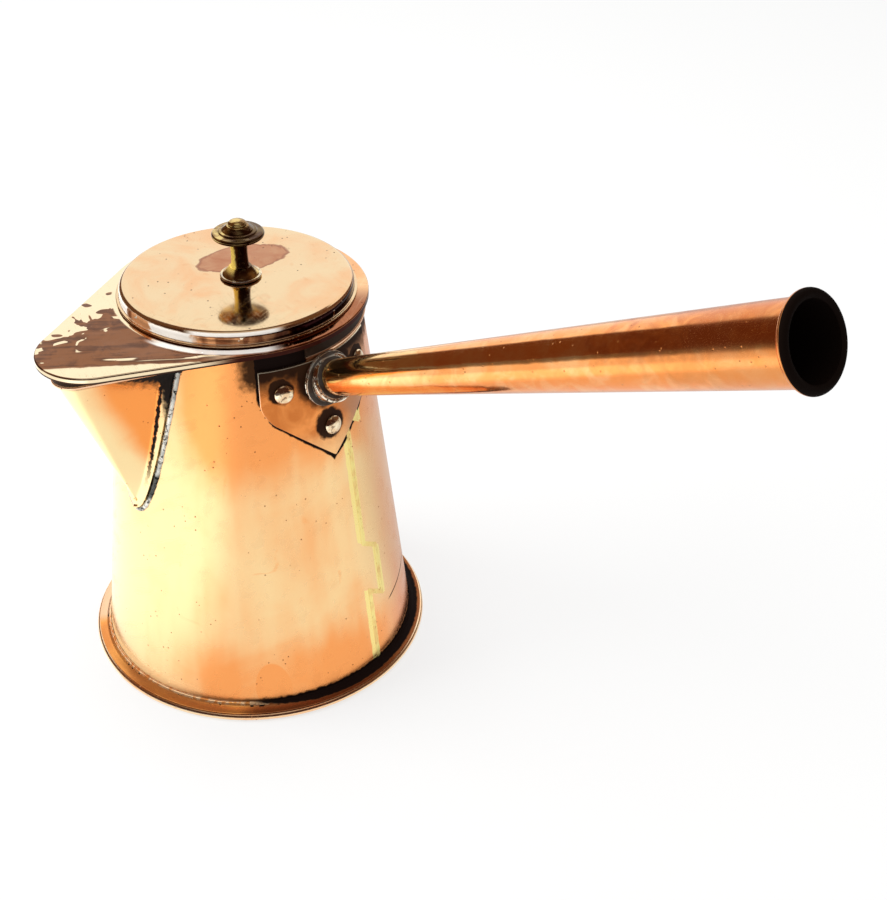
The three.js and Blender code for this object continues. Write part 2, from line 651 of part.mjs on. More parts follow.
// Drop-shaped outline round the mouth and the spout's tip, moved inwards by an inset
function lidOutline(inset) {
  const tipCentre = LID_TIP_REACH - LID_TIP_RADIUS;
  const flankAngle = THREE.MathUtils.radToDeg(Math.acos((LID_RADIUS - LID_TIP_RADIUS) / tipCentre));
  return [
    ...arc(0, 0, LID_RADIUS - inset, flankAngle, 360 - flankAngle, LID_ROUND_STEPS),
    ...arc(tipCentre, 0, LID_TIP_RADIUS - inset, -flankAngle, flankAngle, LID_TIP_STEPS),
  ];
}

function makeLidPlate() {
  const geometry = new THREE.ExtrudeGeometry(new THREE.Shape(lidOutline(LID_EDGE_ROUND)), {
    depth: LID_EDGE_DEPTH - 2 * LID_EDGE_ROUND,
    bevelThickness: LID_EDGE_ROUND,
    bevelSize: LID_EDGE_ROUND,
    bevelSegments: 3,
  });
  const edgeBottom = LID_TOP - LID_EDGE_DEPTH;
  geometry.translate(0, 0, edgeBottom + LID_EDGE_ROUND);
  const pan = upright(lidOutline(LID_SHEET), edgeBottom - BAND_DEPTH, LID_UNDERSIDE);
  const hole = revolve([
    point(0, edgeBottom),
    point(DRUM_RADIUS - DRUM_SHEET - LID_HOLE_LEDGE, edgeBottom),
    point(DRUM_RADIUS - DRUM_SHEET - LID_HOLE_LEDGE, DRUM_TOP),
    point(0, DRUM_TOP),
  ], ROUND_STEPS);
  return turned(solidFrom(geometry).subtract(pan), SPOUT_AZIMUTH).subtract(hole);
}

function makeLidDrum() {
  const shoulder = DRUM_RADIUS - DRUM_SHOULDER_RADIUS;
  const shoulderHeight = DRUM_TOP - DRUM_SHOULDER_RADIUS;
  const footTop = DRUM_FOOT_HEIGHT + DRUM_SHEET;
  const footRadius = DRUM_RADIUS + DRUM_FOOT_WIDTH;
  const holeRadius = KNOB_TENON_RADIUS + JOINT_GAP;
  const drum = revolve([
    point(0, DRUM_TOP - DRUM_SHEET),
    ...arc(shoulder, shoulderHeight, DRUM_SHOULDER_RADIUS - DRUM_SHEET, 90, 0),
    point(DRUM_RADIUS - DRUM_SHEET, DRUM_FOOT_HEIGHT),
    point(footRadius, DRUM_FOOT_HEIGHT),
    point(footRadius, footTop),
    point(DRUM_RADIUS, footTop),
    ...arc(shoulder, shoulderHeight, DRUM_SHOULDER_RADIUS, 0, 90),
    point(0, DRUM_TOP),
  ], ROUND_STEPS);
  const hole = new THREE.CylinderGeometry(holeRadius, holeRadius, 4 * DRUM_SHEET, SMALL_ROUND_STEPS);
  hole.rotateX(Math.PI / 2);
  hole.translate(KNOB_OFFSET_X, KNOB_OFFSET_Y, DRUM_TOP);
  return drum.subtract(solidFrom(hole));
}

function makeLidBezel() {
  const outer = bodyRadius(RIM_HEIGHT) - BODY_WALL - BEZEL_CLEARANCE;
  return revolve([
    point(outer - BEZEL_THICKNESS, LID_UNDERSIDE - JOINT_GAP - BEZEL_DEPTH),
    point(outer, LID_UNDERSIDE - JOINT_GAP - BEZEL_DEPTH),
    point(outer, LID_UNDERSIDE - JOINT_GAP),
    point(outer - BEZEL_THICKNESS, LID_UNDERSIDE - JOINT_GAP),
  ], ROUND_STEPS);
}

// The knob's origin is on top of the drum, with its tenon below
function makeKnob() {
  const foot = JOINT_GAP;
  const headTop = -DRUM_SHEET - KNOB_WASHER_THICKNESS - 2 * JOINT_GAP;
  const bell = foot + KNOB_BELL_HEIGHT;
  const cap = foot + KNOB_CAP_HEIGHT;
  const step = cap + KNOB_CAP_EDGE + KNOB_STEP_HEIGHT;
  const top = foot + KNOB_HEIGHT;
  const button = top - KNOB_BUTTON_HEIGHT;
  const profile = new THREE.Path();
  profile.moveTo(0, headTop - KNOB_HEAD_HEIGHT);
  profile.lineTo(KNOB_TENON_RADIUS, headTop - KNOB_HEAD_HEIGHT);
  profile.quadraticCurveTo(KNOB_HEAD_RADIUS, headTop - KNOB_HEAD_HEIGHT, KNOB_HEAD_RADIUS, headTop);
  profile.lineTo(KNOB_TENON_RADIUS, headTop);
  profile.lineTo(KNOB_TENON_RADIUS, foot);
  profile.lineTo(KNOB_FOOT_RADIUS, foot);
  profile.lineTo(KNOB_FOOT_RADIUS, foot + KNOB_FOOT_EDGE);
  profile.quadraticCurveTo(KNOB_BELL_RADIUS, foot + KNOB_FOOT_EDGE, KNOB_BELL_RADIUS, bell);
  profile.lineTo(KNOB_STEM_RADIUS, bell);
  profile.lineTo(KNOB_STEM_RADIUS, foot + KNOB_STEM_HEIGHT);
  profile.lineTo(KNOB_CAP_RADIUS - KNOB_CAP_EDGE / 2, cap);
  profile.quadraticCurveTo(KNOB_CAP_RADIUS, cap, KNOB_CAP_RADIUS, cap + KNOB_CAP_EDGE / 2);
  profile.quadraticCurveTo(KNOB_CAP_RADIUS, cap + KNOB_CAP_EDGE, KNOB_STEP_RADIUS, step);
  profile.lineTo(KNOB_CONE_RADIUS, step);
  profile.lineTo(KNOB_CONE_TOP_RADIUS, button);
  profile.lineTo(KNOB_BUTTON_RADIUS, button);
  profile.lineTo(KNOB_BUTTON_RADIUS, (button + top) / 2);
  profile.quadraticCurveTo(KNOB_BUTTON_RADIUS, top, 0, top);
  return revolve(profile.getPoints(4), SMALL_ROUND_STEPS);
}

function makeKnobWasher() {
  const top = -DRUM_SHEET - JOINT_GAP;
  const bore = KNOB_TENON_RADIUS + JOINT_GAP;
  return revolve([
    point(bore, top - KNOB_WASHER_THICKNESS),
    point(KNOB_WASHER_RADIUS, top - KNOB_WASHER_THICKNESS),
    point(KNOB_WASHER_RADIUS, top),
    point(bore, top),
  ], SMALL_ROUND_STEPS);
}

// Assembly

const pot = new THREE.Group();
pot.add(piece('body_shell', makeBodyShell(), copper));
pot.add(piece('body_seam', makeSeam(), brass));
pot.add(piece('base_plate', makeBasePlate(), darkCopper));
pot.add(piece('foot_ring', makeFootRing(), darkCopper));
pot.add(piece('rim_band', makeRimBand(), agedCopper));

const spout = new THREE.Group();
spout.rotation.z = radians(SPOUT_AZIMUTH);
spout.add(piece('spout_shell', makeSpoutShell(), copper));
spout.add(piece('spout_rim_band', makeSpoutBand(), agedCopper));
spout.add(piece('spout_solder', makeSpoutSolder(), solder));
pot.add(spout);

pot.add(piece('handle_bracket', makeBracket(), agedCopper));
RIVETS.forEach(({ name, azimuth, height }) => {
  const rivet = piece(name, makeRivet(), copper);
  rivet.applyMatrix4(squareToCone(azimuth, height));
  pot.add(rivet);
});
pot.add(piece('handle_socket', makeHandleSocket(), brass));

const handle = new THREE.Group();
handle.applyMatrix4(handleFrame());
handle.add(piece('handle_tube', makeHandleTube(), agedCopper));
pot.add(handle);

const lid = new THREE.Group();
lid.add(piece('lid_plate', makeLidPlate(), agedCopper));
lid.add(piece('lid_drum', makeLidDrum(), agedCopper));
lid.add(piece('lid_bezel', makeLidBezel(), agedCopper));
const knob = new THREE.Group();
knob.position.set(KNOB_OFFSET_X, KNOB_OFFSET_Y, DRUM_TOP);
knob.add(piece('knob', makeKnob(), brass));
knob.add(piece('knob_washer', makeKnobWasher(), brass));
lid.add(knob);
pot.add(lid);

export default pot;
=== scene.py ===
"""Antique copper hot water pot: tapered body, folded spout, tubular handle and lift-off lid."""

import math
import random

import bpy
from mathutils import Matrix, Vector


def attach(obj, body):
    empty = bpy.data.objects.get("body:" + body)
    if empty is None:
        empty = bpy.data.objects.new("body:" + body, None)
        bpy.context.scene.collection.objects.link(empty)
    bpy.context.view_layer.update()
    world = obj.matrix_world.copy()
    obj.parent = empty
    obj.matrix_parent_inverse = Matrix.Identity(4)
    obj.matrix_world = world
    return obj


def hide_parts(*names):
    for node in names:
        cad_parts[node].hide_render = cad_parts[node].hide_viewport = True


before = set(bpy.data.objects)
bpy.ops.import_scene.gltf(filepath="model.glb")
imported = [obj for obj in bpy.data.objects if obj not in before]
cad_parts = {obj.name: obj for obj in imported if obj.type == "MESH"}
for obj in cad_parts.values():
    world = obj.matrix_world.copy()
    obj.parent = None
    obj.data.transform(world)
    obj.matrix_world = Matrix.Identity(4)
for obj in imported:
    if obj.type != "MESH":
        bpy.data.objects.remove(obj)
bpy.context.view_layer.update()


# Base plate
# A round of copper sheet under the pot. Its edge is rolled into the light bead that the pot
# stands on, and the foot ring is soldered on top of it.

MM = 0.001
LATHE_STEPS = 256
SMOOTH_ANGLE = 35
MERGE_DISTANCE = 0.002
BASE_THICKNESS = 1.2
BASE_EDGE_RADIUS = 1.6
FOOT_RADIUS = 85
BASE_COPPER = (0.97, 0.74, 0.48)
BASE_WARM = (0.95, 0.52, 0.26)
BASE_BROWN = (0.42, 0.14, 0.05)
# Near black, for dirt and for painted shade.
DIRT_AND_SHADE = (0.009, 0.004, 0.003)
DIRT_GLOSS = 0.03


def arc(x, y, radius, start, end, steps=8):
    """Points round a centre, between two angles in degrees."""
    turns = [math.radians(start + (end - start) * i / steps) for i in range(steps + 1)]
    return [(x + radius * math.cos(a), y + radius * math.sin(a)) for a in turns]


def trace(name, points):
    """Starts a piece as a line through points given in millimetres, and stays in edit mode."""
    bpy.ops.object.select_all(action="DESELECT")
    bpy.ops.mesh.primitive_plane_add(size=MM)
    piece = bpy.context.object
    piece.name = piece.data.name = name
    bpy.ops.object.mode_set(mode="EDIT")
    bpy.ops.mesh.merge(type="CENTER")
    here = Vector((0, 0, 0))
    for i, place in enumerate(points):
        step = (Vector(place) * MM - here)[:]
        if i:
            bpy.ops.mesh.extrude_region_move(TRANSFORM_OT_translate={"value": step})
        else:
            bpy.ops.transform.translate(value=step)
        here = Vector(place) * MM
    bpy.ops.mesh.select_all(action="SELECT")
    return piece


def close_up(piece, smooth_angle=SMOOTH_ANGLE):
    """Merges doubles, points the faces outwards and shades all but the sharp edges smooth."""
    if bpy.context.mode == "OBJECT":
        bpy.ops.object.mode_set(mode="EDIT")
    bpy.ops.mesh.select_all(action="SELECT")
    bpy.ops.mesh.remove_doubles(threshold=MERGE_DISTANCE * MM)
    bpy.ops.mesh.normals_make_consistent(inside=False)
    bpy.ops.object.mode_set(mode="OBJECT")
    bpy.ops.object.shade_smooth_by_angle(angle=math.radians(smooth_angle))
    return piece


def turn(name, profile, steps=LATHE_STEPS, ring=False):
    """Turns a profile of radius and height round the Z axis; a ring's profile is closed."""
    outline = [(radius, 0, height) for radius, height in profile]
    if ring:
        outline.append(outline[0])
    piece = trace(name, outline)
    bpy.ops.mesh.spin(steps=steps, angle=math.tau, center=(0, 0, 0), axis=(0, 0, 1))
    return close_up(piece)


class Wire:
    """A socket of a material's nodes, on which arithmetic adds Math nodes. Of two masks, | gives
    the greater, where either covers, and & the smaller."""

    def __init__(self, socket):
        self.socket = socket

    def node(self, kind, settings, inputs, output=0):
        """Adds a node: first its settings, then its values and links, and gives one output."""
        tree = self.socket.id_data
        made = tree.nodes.new("ShaderNode" + kind)
        for name, value in settings.items():
            setattr(made, name, value)
        for key, value in inputs.items():
            if isinstance(value, Wire):
                tree.links.new(value.socket, made.inputs[key])
            elif made.inputs[key].type == "RGBA":
                made.inputs[key].default_value = (*value, 1)
            else:
                made.inputs[key].default_value = value
        return Wire(made.outputs[output])

    def math(self, operation, *others):
        return self.node("Math", {"operation": operation}, dict(enumerate((self, *others))))

    def __add__(self, other):
        return self.math("ADD", other)

    def __sub__(self, other):
        return self.math("SUBTRACT", other)

    def __rsub__(self, other):
        return self.node("Math", {"operation": "SUBTRACT"}, {0: other, 1: self})

    def __mul__(self, other):
        return self.math("MULTIPLY", other)

    def __truediv__(self, other):
        return self.math("DIVIDE", other)

    def __pow__(self, other):
        return self.math("POWER", other)

    def __abs__(self):
        return self.math("ABSOLUTE")

    def __or__(self, other):
        return self.math("MAXIMUM", other)

    def __and__(self, other):
        return self.math("MINIMUM", other)

    __radd__ = __add__
    __rmul__ = __mul__

    def between(self, low, high):
        """0 below low, 1 above high, and a smooth rise from one to the other."""
        rise = {"interpolation_type": "SMOOTHSTEP"}
        return self.node("MapRange", rise, {0: self, 1: low, 2: high})

    def mix(self, bare, covered):
        """A colour that goes from bare to covered as this mask goes from 0 to 1."""
        return self.node("Mix", {"data_type": "RGBA"}, {0: self, 6: bare, 7: covered}, 2)


def coat(colour, *covers):
    """Lays colours over a first one in turn, each where its own mask is 1."""
    for mask, cover in covers:
        colour = mask.mix(colour, cover)
    return colour


def noise(place, size, detail=3, distortion=0.0):
    """Cloudy pattern with features of about this size in millimetres."""
    inputs = {"Scale": 1 / (size * MM), "Detail": detail, "Distortion": distortion}
    return place.node("TexNoise", {}, {"Vector": place, **inputs})


def stretched(place, degrees, along, across):
    """Noise drawn out along one direction, for scratches and polishing marks."""
    rotation = tuple(math.radians(a) for a in degrees)
    scale = (1 / (along * MM), 1 / (across * MM), 1 / (across * MM))
    turned = place.node("Mapping", {}, {"Vector": place, "Rotation": rotation})
    drawn = place.node("Mapping", {}, {"Vector": turned, "Scale": scale})
    return place.node("TexNoise", {}, {"Vector": drawn, "Scale": 1.0, "Detail": 2})


def pits(place, spacing, radius):
    """1 in small round pits at random places, 0 between them."""
    distance = place.node("TexVoronoi", {}, {"Vector": place, "Scale": 1 / (spacing * MM)})
    chosen = noise(place, 6 * spacing, 1).between(0.5, 0.56)
    return chosen * (1 - distance.between(0.4 * radius / spacing, radius / spacing))


def split(place):
    """A vector's x, y and z."""
    return [Wire(axis) for axis in place.node("SeparateXYZ", {}, {0: place}).socket.node.outputs]


def along_axes(place):
    """A place's x, y and z in millimetres."""
    return [axis / MM for axis in split(place)]


def start_finish(name):
    """A new material and the wire of its place on the piece."""
    material = bpy.data.materials.new(name)
    material.use_nodes = True
    source = material.node_tree.nodes.new("ShaderNodeTexCoord")
    return material, Wire(source.outputs["Object"])


def lay_finish(material, colour, roughness, metal, height, depth=0.15):
    """Links what a finish varies; depth is the height of its relief in millimetres."""
    relief = height.node("Bump", {}, {"Height": height, "Distance": depth * MM, "Strength": 1.0})
    shader = material.node_tree.nodes["Principled BSDF"].inputs
    shader["Specular IOR Level"].default_value = DIRT_GLOSS
    names = ("Base Color", "Roughness", "Metallic", "Normal")
    for name, varied in zip(names, (colour, roughness, metal, relief)):
        material.node_tree.links.new(varied.socket, shader[name])
    return material


def copper_finish(name, pale, warm, brown, stain, gloss, wave=0.0, cloud=38.0, dark_cover=None):
    """Old polished copper. Stain is the share of brown patches, gloss the clean metal's
    roughness, wave the unevenness of the sheet in millimetres, cloud the size of its patches.
    The last argument gives a near black cover for a height in millimetres, which on the rim band is
    painted shade."""
    material, place = start_finish(name)
    clouds = noise(place, cloud, 4, 0.6)
    patches = noise(place, cloud * 0.7, 6, 1.2).between(0.72 - stain * 0.4, 0.86 - stain * 0.4)
    smears = stretched(place, (20, 35, 15), 30, 3).between(0.55, 0.75)
    scratches = stretched(place, (0, 25, 70), 24, 0.16).between(0.66, 0.72)
    scratches = scratches | stretched(place, (40, -30, 10), 18, 0.14).between(0.68, 0.74)
    spots = pits(place, 3.2, 0.55)
    browned, clean = patches * 0.8, 1
    colour = clouds.between(0.38, 0.66).mix(pale, warm)
    colour = coat(colour, (smears * 0.3, warm), (browned, brown))
    # On the rim band this near black cover is painted shade under the lid.
    if dark_cover:
        darkening = dark_cover(along_axes(place)[2])
        colour = darkening.mix(colour, DIRT_AND_SHADE)
        browned, clean = browned | darkening, 1 - darkening
    colour = (spots * 0.85).mix(colour, brown)
    roughness = gloss + 0.1 * smears + 0.16 * browned + 0.12 * scratches + 0.3 * spots
    metal = (1 - 0.25 * browned * patches - 0.5 * spots) & clean
    swell = noise(place, 22, 1) * (wave / 0.15)
    height = swell - 0.06 * scratches - 0.5 * spots + 0.015 * noise(place, 0.8, 2)
    return lay_finish(material, colour, roughness, metal, height)


def fit(piece, material, body, node):
    """Gives a piece its finish, and its place among the solids."""
    piece.data.materials.clear()
    piece.data.materials.append(material)
    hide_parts(node)
    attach(piece, body)


base_edge = FOOT_RADIUS - BASE_EDGE_RADIUS
base_profile = [
    (0, 0),
    *arc(base_edge, BASE_EDGE_RADIUS, BASE_EDGE_RADIUS, -90, 90, 12),
    (base_edge - BASE_EDGE_RADIUS, BASE_THICKNESS),
    (0, BASE_THICKNESS),
]
base_plate = turn("base_plate_sheet", base_profile)
base_copper = copper_finish(
    "worn foot copper", BASE_COPPER, BASE_WARM, BASE_BROWN, stain=0.12, gloss=0.2
)
fit(base_plate, base_copper, "pot", "base_plate")


# Foot ring
# A ring drawn from thicker copper, with a hollow side and a small upright lip. It is soldered
# round the body's foot, and is never polished as clean as the body. Its right side carries a
# painted dark reflection, and its lip a painted highlight on the side towards the light.

JOINT_GAP = 0.3
FOOT_HEIGHT = 6.4
FOOT_LEDGE = 1.4
FOOT_LIP = 0.5
BODY_FOOT_RADIUS = 77.5
BODY_RIM_RADIUS = 55.7
RIM_HEIGHT = 188.8
BODY_TAPER = (BODY_FOOT_RADIUS - BODY_RIM_RADIUS) / (RIM_HEIGHT - FOOT_HEIGHT)
FOOT_BROWN = (0.95, 0.4, 0.1)
FOOT_RED = (0.8, 0.3, 0.08)
FOOT_DARK_REFLECTION = (0.2, 0.055, 0.02)
FOOT_WORN = (0.9, 0.6, 0.38)
FOOT_LIP_HIGHLIGHT = (0.97, 0.62, 0.34)


def body_radius(height):
    """The body's outer radius at a height, for a number as for a wire."""
    return BODY_FOOT_RADIUS - BODY_TAPER * (height - FOOT_HEIGHT)


def pulled_curve(start, pull, end, steps=8):
    """Points of a smooth bend from start to end that is pulled towards a corner."""
    points = []
    for i in range(steps + 1):
        t = i / steps
        a, b, c = (1 - t) ** 2, 2 * t * (1 - t), t**2
        points.append(tuple(a * s + b * p + c * e for s, p, e in zip(start, pull, end)))
    return points


body_start = BASE_THICKNESS + JOINT_GAP
lip_height = 2 * BASE_EDGE_RADIUS + JOINT_GAP
lip_radius = FOOT_RADIUS - FOOT_LEDGE
ring_bore = body_radius(FOOT_HEIGHT) + JOINT_GAP
foot_profile = [
    (body_radius(body_start) + JOINT_GAP, body_start),
    (base_edge - BASE_EDGE_RADIUS - JOINT_GAP, body_start),
    (base_edge - BASE_EDGE_RADIUS - JOINT_GAP, lip_height),
    (lip_radius - 0.3, lip_height),
    (lip_radius, lip_height + 0.15),
    *pulled_curve(
        (lip_radius, lip_height + FOOT_LIP),
        (ring_bore + FOOT_LIP, lip_height + FOOT_LIP),
        (ring_bore + FOOT_LIP, FOOT_HEIGHT - 0.2),
    ),
    (ring_bore + 0.3, FOOT_HEIGHT),
    (ring_bore, FOOT_HEIGHT),
]
foot_ring = turn("foot_ring_hollow", foot_profile, ring=True)


def reach(x, y):
    """Distance of a place from where both of these are 0."""
    return (x * x + y * y).math("SQRT")


def towards(x, y, degrees):
    """How far a place lies that way from where both are 0."""
    turned = math.radians(degrees)
    return x * math.cos(turned) + y * math.sin(turned)


def facing(x, y, degrees):
    """1 for a place that lies straight that way from the pot's axis, and -1 for the other way."""
    return towards(x, y, degrees) / reach(x, y)


def foot_finish():
    material, place = start_finish("browned foot copper")
    x, y = along_axes(place)[:2]
    from_bore = reach(x, y) - ring_bore
    grain = noise(place, 2.5, 4) - 0.5
    clouds = noise(place, 30, 4, 0.6)
    right = facing(x, y, 40).between(-0.05, 0.75)
    worn = facing(x, y, -160).between(0.79, 0.85)
    # On the right, away from the light, a wide band by the body is painted near black as a dark
    # reflection; the specks are dirt.
    darkening = 1 - (from_bore - 1.6 * grain - 4.4 * right).between(-0.6, 0.4)
    specks = (1 - abs(from_bore - 1.5).between(0.3, 0.6)) * (grain + 0.5).between(0.56, 0.6)
    # Painted highlight along the lip, on the side towards the light only.
    lip = (1 - from_bore.between(1.0, 1.4)) * (1 - right.between(0.2, 0.6))
    lip = lip * (grain + 0.5).between(0.4, 0.55)
    # Painted dark reflection: the right side is painted dark brown.
    right_dark_reflection = (facing(x, y, 20) + 0.3 * (clouds - 0.5)).between(0.3, 0.55)
    specks_and_shade = (darkening | specks) * (right.between(0.02, 0.2) | specks)
    colour = coat(
        clouds.between(0.4, 0.6).mix(FOOT_BROWN, FOOT_RED),
        (right_dark_reflection * 0.85, FOOT_DARK_REFLECTION),
        (worn * 0.9, FOOT_WORN),
        (lip, FOOT_LIP_HIGHLIGHT),
        (specks_and_shade, DIRT_AND_SHADE),
    )
    roughness = 0.16 + 0.3 * specks_and_shade + 0.06 * clouds
    height = 0.4 * noise(place, 22, 1) + 0.1 * grain - 0.2 * specks_and_shade
    return lay_finish(material, colour, roughness, 0.75 - 0.75 * specks_and_shade, height)


fit(foot_ring, foot_finish(), "pot", "foot_ring")


# Body
# One copper sheet rolled into a cone and brazed along the stepped seam. A notch is cut down from
# its rim for the spout. It is polished, with small dark pits and fine scratches. Its side towards
# the light is painted paler, and its far right side is painted rosy as a reflection.

BODY_WALL = 1.2
BODY_RINGS = 44
SPOUT_AZIMUTH = -90.6
BAND_DEPTH = 9
BAND_HEIGHT = RIM_HEIGHT - BAND_DEPTH
SPOUT_ROOT_HEIGHT = 102
SPOUT_REACH = 97.3
SPOUT_TIP_RADIUS = 8.4
THROAT_ROOT_HEIGHT = 106
THROAT_HALF_WIDTH = 16.5
FLARE_DROP = 16.8
FLARE_WIDTH = 9.1
NOTCH_LEDGE = 2
NOTCH_STEPS = 24
NOTCH_CUT_LENGTH = 60
SEAM_AZIMUTH = 9.6
SEAM_TAB_AZIMUTH = 16.9
SEAM_CENTRE = (SEAM_AZIMUTH + SEAM_TAB_AZIMUTH) / 2
SEAM_STEPS = (43, 71, 141)
SEAM_STEP_LEAN = 0.67
SEAM_WIDTH = 2.4
BRACKET_HALF_TURN = 31.4
BRACKET_TIP = (0, 50.4)  # degrees from the handle and drop below the band, as the next two
BRACKET_SHOULDER = (26, 26.8)
BRACKET_SIDE = (BRACKET_HALF_TURN, 14.8)
PATCH_PLACE = (-46.5, 12)  # round the body from the handle, and up
PATCH_SIZE = (8.5, 15)
SLASH_START = (27.5, 31.5)
SLASH_END = 56
SLASH_RISE = 0.16
RIM_DARK_START = 167
RIM_DARK_FULL = 175
BODY_PALE = (0.97, 0.68, 0.34)
BODY_WARM = (0.96, 0.37, 0.11)
BODY_ROSE = (0.86, 0.38, 0.2)
BODY_BROWN = (0.35, 0.12, 0.04)
BRAZE_YELLOW = (0.99, 0.82, 0.3)


def throat_half_width(height):
    """Half the width of the joint between the spout's flanks and the body."""
    level = min(height, BAND_HEIGHT)
    rise = max(level - THROAT_ROOT_HEIGHT, 0) / (BAND_HEIGHT - THROAT_ROOT_HEIGHT)
    flare = max(level - BAND_HEIGHT + FLARE_DROP, 0) / FLARE_DROP
    return THROAT_HALF_WIDTH * math.sqrt(rise) + FLARE_WIDTH * flare**3


def levels(low, high, steps, crowding=1.0):
    """Heights from low to high, closer together near low where crowding is over 1."""
    return [low + (high - low) * (i / steps) ** crowding for i in range(steps + 1)]


def extrude(x, y, z):
    """Extrudes what is selected by a way in millimetres."""
    way = (x * MM, y * MM, z * MM)
    bpy.ops.mesh.extrude_region_move(TRANSFORM_OT_translate={"value": way})


def cut_away(piece, cutter):
    """Takes the cutter's space out of a piece, and removes the cutter."""
    bpy.context.view_layer.objects.active = piece
    cut = piece.modifiers.new("cut", "BOOLEAN")
    cut.operation = "DIFFERENCE"
    cut.solver = "EXACT"
    cut.object = cutter
    bpy.ops.object.modifier_apply(modifier=cut.name)
    bpy.data.objects.remove(cutter)


wall_levels = levels(body_start, RIM_HEIGHT, BODY_RINGS)
body_profile = [(body_radius(z), z) for z in wall_levels]
body_profile += [(body_radius(z) - BODY_WALL, z) for z in reversed(wall_levels)]
body = turn("body_cone", body_profile, ring=True)

notch_levels = levels(THROAT_ROOT_HEIGHT, BAND_HEIGHT, NOTCH_STEPS, 1.5)
notch_side = [(throat_half_width(z) - NOTCH_LEDGE, z) for z in notch_levels]
notch_side = [(side, z) for side, z in notch_side if side > 1]
notch_side.append((notch_side[-1][0], RIM_HEIGHT + BAND_DEPTH))
notch_outline = notch_side + [(-side, z) for side, z in reversed(notch_side)]
cutter = trace("notch_cutter", [(BODY_RIM_RADIUS / 2, side, z) for side, z in notch_outline])
bpy.ops.mesh.edge_face_add()
extrude(NOTCH_CUT_LENGTH, 0, 0)
close_up(cutter)
cutter.rotation_euler.z = math.radians(SPOUT_AZIMUTH)
bpy.context.view_layer.update()
cut_away(body, cutter)


def on_cone(azimuth, height, centre):
    """Sideways distance and height of a place on the body, seen square from a centre azimuth."""
    return body_radius(height) * math.sin(math.radians(azimuth - centre)), height


def azimuth_of(x, y):
    """A place's azimuth in degrees, which is 0 at the handle."""
    return y.math("ARCTAN2", x) * math.degrees(1)


def outside_shield(round_way, degree, z):
    """Distance of a place from the handle bracket's outline, negative under the bracket."""
    side = abs(round_way)
    distance = side - BRACKET_HALF_TURN * degree
    corners = []
    for degrees, drop in (BRACKET_TIP, BRACKET_SHOULDER, BRACKET_SIDE):
        height = BAND_HEIGHT - drop
        corners.append(Vector((math.radians(degrees) * body_radius(height), height)))
    for start, end in zip(corners, corners[1:]):
        run = (end - start).normalized()
        across = (side - start.x) * run.y - (z - start.y) * run.x
        distance = distance.math("SMOOTH_MAX", across, 1.0)
    return distance


def beside_seam(azimuth, degree, z):
    """Distance of a place from the stepped line along which the seam's brass has run out. It
    lies a degree beside the seam, but for the tabs."""
    level = z + SEAM_STEP_LEAN * (azimuth - SEAM_CENTRE) * degree
    low, middle, high = (level.math("GREATER_THAN", step) for step in SEAM_STEPS)
    track = SEAM_AZIMUTH - 1 + (SEAM_TAB_AZIMUTH + 1 - SEAM_AZIMUTH) * (low - middle + high)
    off_step = (abs(azimuth - SEAM_CENTRE) - (SEAM_TAB_AZIMUTH - SEAM_CENTRE) | 0) * degree
    distance = abs(azimuth - track) * degree
    for step in SEAM_STEPS:
        distance = distance & (off_step + 2.6 * abs(level - step))
    return distance


